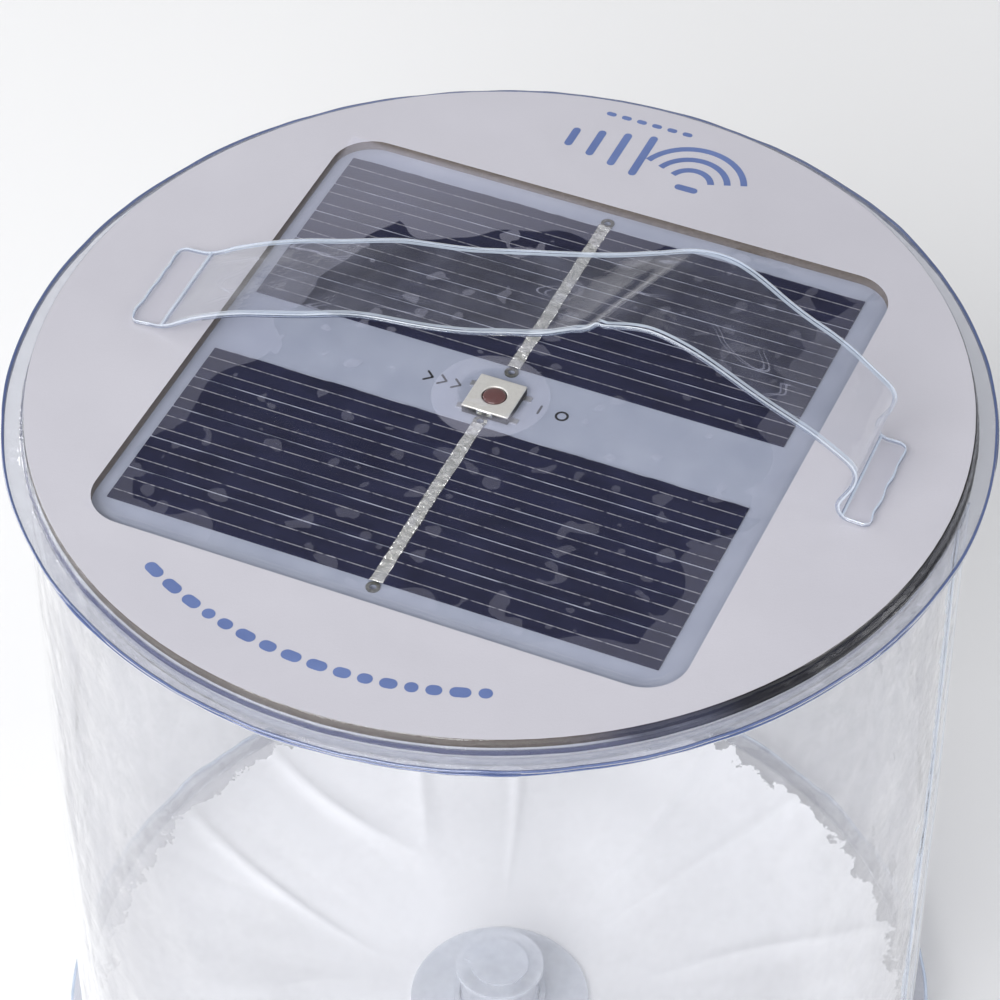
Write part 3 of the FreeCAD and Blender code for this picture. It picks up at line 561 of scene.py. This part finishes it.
def cubic_line(points, count):
    """A natural cubic spline through the points, at count even steps of their chords."""
    points = np.asarray(points, float)
    knots = np.concatenate([[0], np.cumsum(np.linalg.norm(np.diff(points, axis=0), axis=1))])
    gaps = np.diff(knots)
    size = len(points)
    system, target = np.eye(size), np.zeros_like(points)
    for i in range(1, size - 1):
        system[i, i - 1:i + 2] = gaps[i - 1], 2 * (gaps[i - 1] + gaps[i]), gaps[i]
        target[i] = 6 * ((points[i + 1] - points[i]) / gaps[i]
                         - (points[i] - points[i - 1]) / gaps[i - 1])
    bend = np.linalg.solve(system, target)
    at = np.linspace(0, knots[-1], count)
    k = np.clip(np.searchsorted(knots, at, side="right") - 1, 0, size - 2)
    gap = gaps[k][:, None]
    before, past = (knots[k + 1] - at)[:, None], (at - knots[k])[:, None]
    return (bend[k] * before ** 3 / (6 * gap) + bend[k + 1] * past ** 3 / (6 * gap)
            + (points[k] / gap - bend[k] * gap / 6) * before
            + (points[k + 1] / gap - bend[k + 1] * gap / 6) * past)


def window_distance(x, y):
    """Distance outside the window's outline, negative inside."""
    across = np.abs(x - WINDOW_MIDDLE[0]) - (WINDOW_HALF[0] - WINDOW_CORNER)
    along = np.abs(y - WINDOW_MIDDLE[1]) - (WINDOW_HALF[1] - WINDOW_CORNER)
    outside = np.hypot(np.maximum(across, 0), np.maximum(along, 0))
    return outside + np.minimum(np.maximum(across, along), 0) - WINDOW_CORNER


def window_outline(way, inset=0.0):
    """Points on the window's outline, drawn in by an inset, in each direction from its middle."""
    near, far = np.zeros(way.shape[1]), np.full(way.shape[1], 70.0)
    for _ in range(30):
        reach = (near + far) / 2
        inside = window_distance(WINDOW_MIDDLE[0] + reach * way[0],
                                 WINDOW_MIDDLE[1] + reach * way[1]) < -inset
        near, far = np.where(inside, reach, near), np.where(inside, far, reach)
    return WINDOW_MIDDLE[:, None] + reach * way


def add_piece(piece, body, slot, *nodes):
    """Lets a piece ride a body and stand for CAD nodes, which it hides."""
    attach(piece, body)
    if nodes:
        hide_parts(*nodes)
    return piece


# ---------------------------------------------------------------- film over the module

def tent_share(x, y):
    """0 on the panel and 1 on the film's tent over the switch."""
    foot, foot_radius = TENT_MIDDLE, TENT_RADIUS
    peak, peak_radius = np.array([SWITCH_MIDDLE.x, SWITCH_MIDDLE.y]), 4.6
    below, above = np.zeros_like(x), np.ones_like(x)
    for _ in range(20):
        middle = (below + above) / 2
        away = np.hypot(x - foot[0] - (peak[0] - foot[0]) * middle,
                        y - foot[1] - (peak[1] - foot[1]) * middle)
        inside = away < foot_radius + (peak_radius - foot_radius) * middle
        below, above = np.where(inside, middle, below), np.where(inside, above, middle)
    return (below + above) / 2


def make_top_film(m):
    """One clear film: over the board, down into the window, up over the switch, and down the
    board's edge to the rim. Its rings follow the window's outline so that the dip is crisp."""
    segments = 480
    angles = np.arange(segments) * (2 * math.pi / segments)
    way = np.stack([np.cos(angles), np.sin(angles)])
    outline = window_outline(way)
    shares = np.concatenate([np.linspace(0.006, 0.2, 22), np.linspace(0.2, 0.92, 40)[1:],
                             np.linspace(0.92, 1.02, 16)[1:]])
    rings = []
    for share in shares:
        centre = np.array([SWITCH_MIDDLE.x, SWITCH_MIDDLE.y])
        centre = centre + (WINDOW_MIDDLE - centre) * smooth(share * 2)
        disc = WINDOW_MIDDLE[:, None] + (way * 39.0 * share)
        boxy = WINDOW_MIDDLE[:, None] + (outline - WINDOW_MIDDLE[:, None]) * share
        square = smooth((share - 0.2) / 0.5)
        ring = disc * (1 - square) + boxy * square
        rings.append(ring + (centre - WINDOW_MIDDLE)[:, None])
    edge = rings[-1]
    for share in np.linspace(0, 1, 14)[1:]:
        rings.append(edge * (1 - share) + way * (BOARD_RADIUS - 0.5) * share)
    flat = np.stack(rings)
    x, y = flat[:, 0], flat[:, 1]
    rest = np.stack([x, y, np.zeros_like(x)], axis=-1)
    dip = smooth((window_distance(x, y) + 2.6) / 2.8)
    wave = 0.03 * ripple(rest, 7.0, 1) + 0.01 * ripple(rest, 2.2, 2)
    panel = COAT_TOP + 0.13 + 1.3 * np.abs(wave)
    tent = tent_share(x, y) ** 1.25
    raised = panel + (BUTTON_TOP + 0.2 - panel) * tent
    z = raised * (1 - dip) + (FILM_LOW + 0.06 + 0.4 * np.abs(wave)) * dip
    top = np.stack([x, y, z], axis=-1)
    skirt_radii = [BOARD_RADIUS - 0.15, BOARD_RADIUS + 0.08, BOARD_RADIUS + 0.16,
                   BOARD_RADIUS + 0.22, BOARD_RADIUS + 0.3, BOARD_RADIUS + 0.42,
                   BOARD_RADIUS + 0.6]
    skirt_levels = [DECK + 0.1, DECK + 0.02, DECK - 0.3, DECK - 0.9, DECK - 1.5, RIM_TOP + 0.25,
                    RIM_TOP + 0.05]
    skirt = ring_points(skirt_radii, skirt_levels, segments)
    creases = ripple(skirt, 6.0, 3, (1, 1, 4))[..., None]
    outward = skirt * np.array([1, 1, 0]) / BOARD_RADIUS
    skirt[2:] += (0.12 * np.abs(creases) * outward)[2:]
    points = np.concatenate([top, skirt])
    fold_from = len(points) - 6
    piece = make_sheet("top_cover_film", points, 0.1, [m["top"], m["fold"]], around=True,
                       pole=True, pick=lambda row, col: (row >= fold_from).astype(int))
    return add_piece(piece, "lamp_module", "clear_film", "top_film")


def make_rim(name, edge, m, body, node, jitter, seed):
    """A welded rim: two film edges pressed together, a ridge inside, and outer lips that part."""
    z_low, z_high = low(node).z, high(node).z
    middle, half = (z_low + z_high) / 2, (z_high - z_low) / 2
    profile = [(59.75, 0.45, 0.8), (60.0, 0.52, 0.85), (60.3, 0.38, 0.6), (60.7, 0.25, 0.45),
               (61.2, 0.22, 0.4), (61.6, 0.24, 0.4), (61.9, 0.34, 0.5), (62.1, 0.46, 0.62),
               (62.3, 0.56, 0.74), (62.42, 0.6, 0.7)]
    radii = [r for r, _, _ in profile]
    lean = np.linspace(0, 1, len(radii))[:, None]
    for side, sign in (("upper", 1), ("lower", -1)):
        levels = [middle + sign * half * part for _, part, _ in profile]
        grid = ring_points(radii, levels, 720)
        shared = grid * np.array([1, 1, 0])
        wave = ripple(shared, 14.0, seed) * 0.5 + ripple(shared, 4.0, seed + 1) * 0.5
        grid[..., 2] += jitter * lean * wave
        out = grid[..., :2] / np.hypot(grid[..., 0], grid[..., 1])[..., None]
        grid[..., :2] += out * (0.18 * lean * ripple(grid, 9.0, seed + 2 + sign))[..., None]
        thickness = np.array([half * t for _, _, t in profile])[:, None]
        lip = make_sheet(name + "_" + side, grid, thickness, [m["rim"], m[edge]], around=True,
                         pick=lambda row, col: (row >= 7).astype(int))
        add_piece(lip, body, "weld", *([node] if sign > 0 else []))


# ---------------------------------------------------------------- air chamber

def wall_surface(radius, angles, levels):
    """The wall's film at a mid radius: rows of levels, columns of angles. It puckers towards
    both welds and carries soft dents."""
    low_end, high_end = levels.min(), levels.max()
    turn, level = np.meshgrid(angles, levels)
    grid = np.stack([radius * np.cos(turn), radius * np.sin(turn), level], axis=-1)
    up, down = level - low_end, high_end - level
    held = smooth(np.minimum(up, down) / 3.0)
    puckers = (0.55 * np.exp(-down / 9.0) + 0.9 * np.exp(-up / 16.0))
    dents = 0.5 * ripple(grid, 34.0, 11, (1, 1, 1.4)) + 0.22 * ripple(grid, 12.0, 12, (1, 1, 2.4))
    pleats = puckers * ripple(grid, 5.5, 13, (1, 1, 7.0))
    slack = held * (dents + pleats)
    # the pushed-in dents stay clear of the module, which sinks past them as the lantern folds
    slack = np.where(slack < 0, INWARD * np.tanh(slack / INWARD), slack)
    grid[..., 0] += slack * np.cos(turn)
    grid[..., 1] += slack * np.sin(turn)
    return grid


def let_collapse(piece):
    """Gives the piece its own copy of its mesh."""
    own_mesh(piece)


def make_wall(m):
    z_low, z_high = BASE_RIM_TOP - 0.3, RIM_LOW + 0.3
    levels = z_low + (z_high - z_low) * (1 - np.cos(np.linspace(0, math.pi, 130))) / 2
    angles = np.arange(420) * (2 * math.pi / 420)
    wall = make_sheet("chamber_wall", wall_surface(FILM_MIDDLE, angles, levels), 0.28,
                      [m["wall"]], around=True)
    add_piece(wall, "base", "clear_film", "side_wall")
    let_collapse(wall)
    first, last = math.radians(1.5), math.radians(6.5)
    lap_angles = np.linspace(first, last, 15)
    lap = wall_surface(FILM_MIDDLE, lap_angles, levels)
    out = lap[..., :2] / np.hypot(lap[..., 0], lap[..., 1])[..., None]
    lap[..., :2] += out * 0.3
    lap = make_sheet("chamber_lap_seam", lap[:, ::-1], 0.26, [m["strap"], m["edge"]],
                     pick=lambda row, col: ((col <= 0) | (col >= 13)).astype(int))
    add_piece(lap, "base", "clear_film", "wall_lap_seam")
    let_collapse(lap)


def make_base(m):
    """The base film: flat in the middle, pleated where it turns up to the rim."""
    radii = np.concatenate([np.linspace(6.0, 16.0, 8), np.linspace(16.0, 60.1, 70)[1:]])
    rise = np.where(radii > 42.0, 2.35 * ((radii - 42.0) / 18.2) ** 2, 0.0)
    segments = 540
    grid = ring_points(radii, 0.2 + rise, segments)
    out = smooth((radii - 16.0) / 30.0)[:, None]
    tied = smooth((60.1 - radii) / 2.0)[:, None]
    angles = np.arctan2(grid[..., 1], grid[..., 0])
    spokes = np.stack([np.cos(angles), np.sin(angles), np.zeros_like(angles)], axis=-1)
    pleats = ripple(spokes * 60.0 + grid * 0.12, 7.0, 21)
    folds = ripple(spokes * 60.0 + grid * 0.35, 36.0, 22)
    ridge = np.maximum(0.0, 1 - np.abs(folds) * 7.0)
    grid[..., 2] += out * tied * (0.25 * np.abs(pleats) + 0.7 * ridge ** 2)
    grid[..., 2] += 0.25 * out * (1 + ripple(grid, 14.0, 23))
    base = make_sheet("base_pleated_film", grid, 0.3, [m["base"]], around=True)
    add_piece(base, "base", "clear_film", "bottom_film")


def make_inner_film(m):
    """The film behind the module: flat over the battery cover, then sloping up to the rim."""
    cover_low, cover_radius = low("battery_cover").z, high("battery_cover").x
    profile = ([(r, cover_low - 0.45) for r in np.linspace(0.4, cover_radius - 1, 24)]
               + [(cover_radius + 1.0, cover_low - 0.4)])
    slope = np.linspace(0, 1, 26)[1:]
    start = profile[-1]
    profile += [(start[0] + (FILM_CORNER - start[0]) * s,
                 start[1] + (PLATE_LOW - 0.15 - start[1]) * s ** 1.08) for s in slope]
    profile += [(FILM_CORNER + 0.02, PLATE_LOW + 0.5), (FILM_CORNER + 0.03, RIM_LOW)]
    grid = ring_points([p[0] for p in profile], [p[1] for p in profile], 360)
    radius = np.hypot(grid[..., 0], grid[..., 1])
    free = smooth((radius - cover_radius) / 4) * smooth((FILM_CORNER - radius) / 3)
    grid[..., 2] += free * (0.45 * ripple(grid, 7.0, 31) - 0.2)
    piece = make_sheet("inner_film_sheet", grid, 0.18, [m["inner"]], around=True, pole=True)
    add_piece(piece, "lamp_module", "clear_film", "barrier_film")


# ---------------------------------------------------------------- strap

# the strap's middle line: along X, and above the printed board
STRAP_LINE = [
    (-48.4, 0.55), (-46.6, 0.55), (-44.6, 0.7), (-41.0, 2.5), (-35.3, 5.5), (-24.0, 9.5),
    (-16.0, 12.1), (-10.0, 12.8), (-3.0, 13.9), (4.0, 15.8), (11.0, 18.3), (18.0, 21.4),
    (24.0, 22.0), (29.5, 19.8), (34.0, 17.0), (40.0, 13.9), (45.0, 11.3), (48.4, 8.2),
    (47.6, 4.8), (46.6, 2.2), (47.4, 0.8), (48.9, 0.55), (50.8, 0.55),
]
STRAP_WIDTH, STRAP_THICK, STRAP_TURN = 15.5, 0.6, math.radians(1.5)
PAD_CORNER = 1.3


def make_strap(m):
    """Two clear bands welded together, with both their ends. The strap rises in an arch in the
    middle, and its ends lie flat on the board."""
    count, lanes = 460, 45
    line = cubic_line(STRAP_LINE, count)
    across = np.linspace(-1, 1, lanes)
    across = np.sign(across) * (1 - (1 - np.abs(across)) ** 1.4)
    run = np.concatenate([[0], np.cumsum(np.linalg.norm(np.diff(line, axis=0), axis=1))])
    from_end = np.minimum(np.minimum(run, run[-1] - run), PAD_CORNER)
    half = STRAP_WIDTH / 2 - PAD_CORNER + np.sqrt(PAD_CORNER ** 2 - (PAD_CORNER - from_end) ** 2)
    offset = half[:, None] * across[None, :]
    x = np.repeat(line[:, :1], lanes, axis=1)
    height = np.repeat(line[:, 1:], lanes, axis=1)
    free = smooth((height - 1.2) / 6.0)
    crest = np.exp(-((x - 20.0) / 11.0) ** 2) * free
    plain = np.stack([x, offset, height], axis=-1)
    ragged = (1 - free) * smooth((1.6 - from_end)[:, None] / 1.6)
    x = x + 0.30 * crest * offset + 0.35 * ragged * ripple(plain, 2.2, 43)
    offset = offset + 0.25 * (1 - free) * np.sign(across) * ripple(plain, 3.0, 44)
    height = height + free * (0.35 * ripple(plain, 18.0, 41) + 0.12 * ripple(plain, 5.0, 42))
    height = height - 0.5 * crest * across ** 2
    height = height + 0.5 * smooth((x - 17) / 6) * smooth((47 - x) / 5)
    height = height + 0.9 * ((across + 1) / 2) ** 2 * smooth((x + 14) / 16) * smooth((47 - x) / 8)
    # a sharp fold that starts at the near edge and dies out across the band
    along_fold = (offset + STRAP_WIDTH / 2) / STRAP_WIDTH
    beside = x - (15.2 + 7.5 * along_fold)
    fade = smooth(1.25 - along_fold / 0.8)
    height = height + fade * free * (0.42 * np.exp(-(beside / 0.6) ** 2)
                                     - 0.25 * np.exp(-((beside + 1.7) / 1.0) ** 2))
    swing = np.array([[math.cos(STRAP_TURN), math.sin(STRAP_TURN)],
                      [-math.sin(STRAP_TURN), math.cos(STRAP_TURN)]])
    pivot = np.array([-44.5, 0.0])
    flat = (np.stack([x, offset], axis=-1) - pivot) @ swing + pivot
    points = np.concatenate([flat, (height + DECK)[..., None]], axis=-1)
    bead = STRAP_THICK * (0.34 + 0.14 * smooth((np.abs(across) - 0.93) / 0.05))

    welded = line[:, 1] < 0.9
    weld_ends = np.flatnonzero(welded[1:] != welded[:-1])

    def pick(row, col):
        rim = (col == 0) | (col == lanes - 2) | (row == 0) | (row == count - 2)
        rim = rim | np.isin(row, weld_ends)
        return np.where(rim, 1, np.where(welded[row], 2, 0))

    def pick_with_seams(row, col):
        seam = ((col == 3) | (col == lanes - 5)) & (line[row, 1] > 2.0)
        return np.where(seam, 1, pick(row, col))

    points = points[:, ::-1]
    apart = sheet_normals(points) * 0.27 * STRAP_THICK
    # the lower band's edges take the darker copy of the edge as painted shade
    for name, band, edge, choose in (("upper", points + apart, "edge", pick_with_seams),
                                     ("lower", points - apart, "painted_shade_edge", pick)):
        strap = make_sheet("carry_strap_" + name, band, bead[None, :] * np.ones((count, 1)),
                           [m["strap"], m[edge], m["pad"]], pick=choose)
        if name == "upper":
            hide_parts("strap_left_span", "strap_grip", "strap_right_span",
                        "strap_pad_left", "strap_pad_right")
        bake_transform(strap)


# ---------------------------------------------------------------- panel and switch

def make_coat(m):
    """The clear coat over the cells, from round the switch out to the window's edge."""
    square, circle = square_and_circle(480)
    outline = window_outline(circle.T, inset=0.2).T
    hole = square * 3.4 + [SWITCH_MIDDLE.x, SWITCH_MIDDLE.y]
    share = np.linspace(0, 1, 24)[:, None, None]
    flat = hole * (1 - share) + outline * share
    level = COAT_TOP - 0.03 + 0.01 * ripple(np.pad(flat, ((0, 0), (0, 0), (0, 1))), 8.0, 4)
    piece = make_sheet("cell_coat", np.concatenate([flat, level[..., None]], axis=-1), 0.03,
                       [m["coat"]], around=True)
    add_piece(piece, "lamp_module", "clear_coat", "panel_coating")


def make_ribbon(bank, m, seed):
    """Soldered tabbing ribbon of one bank: a lumpy silver strip with a blob at each joint."""
    box_low, box_high = low("ribbon_" + bank), high("ribbon_" + bank)
    rows, lanes = 150, 13
    y = np.linspace(box_low.y - 0.5, box_high.y + 0.5, rows)
    across = np.linspace(-1, 1, lanes)
    step = CELL_PITCH / 2
    joints = np.minimum(1.0, np.abs((y - box_low.y + 0.2) % CELL_PITCH - step) / step)
    blob = np.exp(-((1 - joints) / 0.16) ** 2)
    seeds = np.stack([np.zeros(rows), y, np.zeros(rows)], axis=-1)
    half = 0.84 + 0.06 * ripple(seeds, 1.6, seed) + 0.05 * blob
    middle = (box_low.x + box_high.x) / 2 + 0.12 * ripple(seeds, 6.0, seed + 1)
    x = middle[:, None] + half[:, None] * across
    crown = np.minimum(1.0, (1 - np.abs(across)) / 0.22)
    grid = np.stack([x, np.repeat(y[:, None], lanes, 1), np.zeros_like(x)], axis=-1)
    lumps = 0.15 * ripple(grid, 1.4, seed + 2, (1, 2, 1)) + 0.03 * ripple(grid, 0.5, seed + 3)
    height = crown * (0.12 + 0.06 * blob[:, None] + lumps)
    grid[..., 2] = CELL_TOP + 0.03 + np.clip(height, 0.0, 0.2)
    piece = make_sheet("tabbing_ribbon_" + bank, grid[:, ::-1], 0.04, [m["solder"]])
    add_piece(piece, "lamp_module", "solder", "ribbon_" + bank)


def square_and_circle(count):
    """Points round a square and a circle of half width 1, at the same even angles."""
    turn = np.arange(count) * (2 * math.pi / count)
    circle = np.stack([np.cos(turn), np.sin(turn)], axis=-1)
    return circle / np.abs(circle).max(axis=1, keepdims=True), circle


def make_switch_cover(m):
    """Pressed steel cover: a flat plate with a hole, and two clips bent down its sides."""
    mx, my, top = SWITCH_MIDDLE.x, SWITCH_MIDDLE.y, SWITCH_HIGH.z
    half = (SWITCH_HIGH.x - SWITCH_LOW.x) / 2
    square, circle = square_and_circle(96)
    rings = [(circle * 1.62, top - 0.26), (circle * 1.63, top - 0.14), (circle * 1.68, top - 0.07),
             (circle * 1.76, top - 0.045)]
    for share in np.linspace(0.12, 1.0, 8):
        ring = circle * 1.76 * (1 - share) + square * (half - 0.14) * share
        rings.append((ring, top - 0.04))
    rings += [(square * (half - 0.07), top - 0.055), (square * (half - 0.03), top - 0.11),
              (square * (half - 0.025), top - 0.26)]
    points = np.stack([np.concatenate([ring + [mx, my], np.full((len(ring), 1), z)], axis=1)
                       for ring, z in rings])
    plate = make_sheet("switch_cover_plate", points, 0.05, [m["nickel"]], around=True)
    add_piece(plate, "lamp_module", "switch_metal", "switch_cover")
    walls = [(square * (half - 0.06) + [mx, my], z)
             for z in np.linspace(top - 0.24, PANEL + 0.06, 6)]
    walls = np.stack([np.concatenate([ring, np.full((len(ring), 1), z)], axis=1)
                      for ring, z in walls])
    body = make_sheet("switch_body", walls, 0.05, [m["black"]], around=True)
    add_piece(body, "lamp_module", "switch_black")
    for side, sign in (("front", -1), ("rear", 1)):
        rows = [(0.0, half - 0.02, top - 0.10), (0.0, half + 0.02, top - 0.2),
                (0.0, half + 0.02, top - 0.45), (0.0, half + 0.01, top - 0.7),
                (0.12, half - 0.03, top - 0.88)]
        lanes = np.linspace(-1.1, 1.1, 11)
        grid = np.array([[(mx + lane * (1 - narrow), my + sign * y, z) for lane in lanes]
                         for narrow, y, z in rows])
        skirt = make_sheet("switch_cover_tab_" + side, grid[:, ::-1] if sign < 0 else grid, 0.08,
                           [m["tin"]])
        add_piece(skirt, "lamp_module", "switch_metal")


def make_button(m):
    """The push button: a low dome with a pressed ring, on its stem."""
    mx, my, top = SWITCH_MIDDLE.x, SWITCH_MIDDLE.y, BUTTON_TOP
    foot = low("switch_plunger").z
    profile = [(0.1, 0.0), (0.4, -0.012), (0.75, -0.04), (1.0, -0.075), (1.15, -0.11),
               (1.3, -0.16), (1.4, -0.23), (1.45, -0.32), (1.46, -0.45),
               (1.46, foot - top + 0.12)]
    grid = ring_points([r for r, _ in profile], [top - 0.06 + z for _, z in profile], 64)
    grid[..., 0] += mx
    grid[..., 1] += my
    piece = make_sheet("push_button", grid, 0.06, [m["button"]], around=True, pole=True)
    add_piece(piece, "switch_button", "button_red", "switch_plunger")


# ---------------------------------------------------------------- printed marks

def make_marks(name, shapes, level, material, slot):
    """Flat printed marks. Each shape is a list of (x, y) corners, going round to the left."""
    vertices, faces = [], []
    for shape in shapes:
        count, first = len(shape), len(vertices)
        vertices += [(x, y, level + 0.02) for x, y in shape]
        vertices += [(x, y, level + 0.002) for x, y in shape]
        faces.append(list(range(first, first + count)))
        faces.append(list(range(first + 2 * count - 1, first + count - 1, -1)))
        faces += [[first + i, first + count + i, first + count + (i + 1) % count,
                   first + (i + 1) % count] for i in range(count)]
    piece = make_piece(name, vertices, faces, [material], flat=True)
    return add_piece(piece, "lamp_module", slot)


def bar(x, y, length, width, angle=0.0):
    """A bar with round ends, about its middle."""
    points = []
    for side in (1, -1):
        for step in range(9):
            turn = -math.pi / 2 + step * math.pi / 8
            points.append((side * ((length - width) / 2 + width / 2 * math.cos(turn)),
                           side * width / 2 * math.sin(turn)))
    c, s = math.cos(angle), math.sin(angle)
    return [(x + px * c - py * s, y + px * s + py * c) for px, py in points]


def arc_band(x, y, inner, outer, start, end, steps=24):
    """A curved band between two radii."""
    turns = [math.radians(start + (end - start) * i / steps) for i in range(steps + 1)]
    return ([(x + outer * math.cos(t), y + outer * math.sin(t)) for t in turns]
            + [(x + inner * math.cos(t), y + inner * math.sin(t)) for t in reversed(turns)])


def make_all_marks(m):
    """Generic marks where the real lantern has lettering."""
    lengths = [2.8, 2.8, 2.6, 1.7, 2.0, 2.6, 2.2, 2.6, 2.6, 2.2, 1.9, 2.2, 1.7, 2.0, 2.6, 1.7]
    turn, radius, front = math.radians(-120.5), 52.2, []
    for length in lengths:
        turn += (length / 2 + 0.4) / radius
        front.append(bar(radius * math.cos(turn), radius * math.sin(turn), length, 1.6,
                         turn + math.pi / 2))
        turn += (length / 2 + 0.4) / radius
    make_marks("blue_dashes", front, DECK, m["blue_ink"], "printed_board")
    rear = [bar(-11.0 + 3.4 * i, 49.5, 4.0 + 1.6 * i, 1.1, math.pi / 2) for i in range(4)]
    rear += [arc_band(7.0, 46.5, r, r + 0.9, 20, 160) for r in (2.4, 4.6, 6.8)]
    rear += [bar(7.0, 45.4, 3.2, 1.1)]
    rear += [bar(-8.0 + 2.2 * i, 56.0, 1.4, 0.8) for i in range(6)]
    make_marks("blue_icon", rear, DECK, m["blue_ink"], "printed_board")
    arrow = [bar(-9.6 + dx, -0.15 + side * 0.42, 1.5, 0.3, side * -0.72)
             for dx in (0.0, 1.9, 3.8) for side in (1, -1)]
    make_marks("push_arrows", arrow, PANEL, m["black_ink"], "panel_board")
    power = [bar(5.6, -0.3, 1.7, 0.3, math.pi / 2)]
    power += [arc_band(8.6, -0.3, 0.58, 0.88, a, a + 180) for a in (0, 180)]
    make_marks("power_marks", power, PANEL, m["black_ink"], "panel_board")


# ---------------------------------------------------------------- scene

def dress_cad_nodes(m):
    """Finishes for the CAD nodes that stay."""
    finishes = {
        "card": ["face_board"], "laminate": ["panel_board"],
        "cell": ["cell_strips_front", "cell_strips_rear"], "plated": ["plated_holes"],
        "black": ["switch_base"],
        "tin": ["switch_dome", "switch_terminals", "link_pins"],
        "plate": ["back_plate", "battery_cover"], "solder_mask": ["led_board"],
        "led": ["leds"], "chip": ["led_resistors", "driver_chip", "charge_chip"],
        "foil": ["battery"], "foam": ["battery_tape"], "lead": ["battery_leads"],
        "vinyl": ["valve_flange", "valve_neck", "valve_plug", "valve_flap"],
    }
    for key, nodes in finishes.items():
        for node in nodes:
            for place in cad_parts[node].material_slots:
                place.material = m[key]


def add_camera():
    """The photograph's viewing angle."""
    azimuth, elevation = math.radians(23.66), math.radians(44.285)
    right = Vector((math.cos(azimuth), math.sin(azimuth), 0))
    back = Vector((math.sin(azimuth) * math.cos(elevation),
                   -math.cos(azimuth) * math.cos(elevation), math.sin(elevation)))
    up = back.cross(right)
    centre = Vector((146.39, -333.99, 336.07 + DECK)) * MM
    data = bpy.data.cameras.new("camera")
    data.sensor_width = 36.0
    data.lens = 142.57
    data.clip_start, data.clip_end = 0.01, 20.0
    camera = bpy.data.objects.new("camera", data)
    turn = Matrix((right, up, back)).transposed().to_4x4()
    camera.matrix_world = Matrix.Translation(centre) @ turn
    bpy.context.scene.collection.objects.link(camera)
    bpy.context.scene.camera = camera


def add_softbox(name, place, target, size, power):
    data = bpy.data.lights.new(name, "AREA")
    data.shape = "RECTANGLE"
    data.size, data.size_y = size
    data.energy = power
    light = bpy.data.objects.new(name, data)
    light.location = place
    light.rotation_euler = (Vector(target) - Vector(place)).to_track_quat("-Z", "Y").to_euler()
    bpy.context.scene.collection.objects.link(light)


def add_studio():
    """A pale floor that rises far away all round, soft boxes and a dim even sky."""
    s = Shader("floor_paint")
    tone = s.ramp(s.grain(300.0, 2.0), (0.3, (0.80, 0.80, 0.805)), (0.7, (0.82, 0.82, 0.825)))
    paint = s.done(s.principled(Base_Color=tone, Roughness=0.7, Specular_IOR_Level=0.1))
    radii = np.concatenate([[20.0], np.linspace(60, 1300, 24), np.linspace(1300, 1800, 22)[1:]])
    rise = np.where(radii > 1300, 620 * (1 - np.cos((radii - 1300) / 500 * math.pi / 2)), 0.0)
    grid = ring_points(radii, rise - 5.0, 96)
    floor = make_sheet("floor", grid[:, ::-1], 10.0, [paint], around=True, pole=True)
    middle = (0, 0, 0.06)
    for name, place, size, power in (("top_box", (-0.3, 0.1, 1.25), (1.1, 0.9), 1),
                                     ("front_box", (-0.15, -1.1, 0.95), (1.2, 0.8), 23),
                                     ("left_box", (-1.15, 0.0, 0.6), (0.8, 0.7), 6),
                                     ("right_box", (1.15, 0.3, 0.6), (0.6, 0.6), 4)):
        add_softbox(name, place, middle, size, power)
    world = bpy.data.worlds.new("studio")
    world.use_nodes = True
    world.node_tree.nodes["Background"].inputs["Color"].default_value = (0.95, 0.965, 1.0, 1)
    world.node_tree.nodes["Background"].inputs["Strength"].default_value = 0.3
    bpy.context.scene.world = world
    bpy.context.scene.view_settings.view_transform = "Standard"
    bpy.context.scene.cycles.transparent_max_bounces = 32


materials = make_materials()
add_camera()
add_studio()
dress_cad_nodes(materials)
make_wall(materials)
make_base(materials)
make_inner_film(materials)
make_rim("top_weld_rim", "rim_edge", materials, "lamp_module", "top_seam_ring", 0.25, 51)
make_rim("base_weld_rim", "edge", materials, "base", "bottom_seam_ring", 1.5, 54)
make_top_film(materials)
make_strap(materials)
for bank_number, bank_name in enumerate(("front", "rear")):
    make_ribbon(bank_name, materials, 61 + 5 * bank_number)
make_coat(materials)
make_switch_cover(materials)
make_button(materials)
make_all_marks(materials)
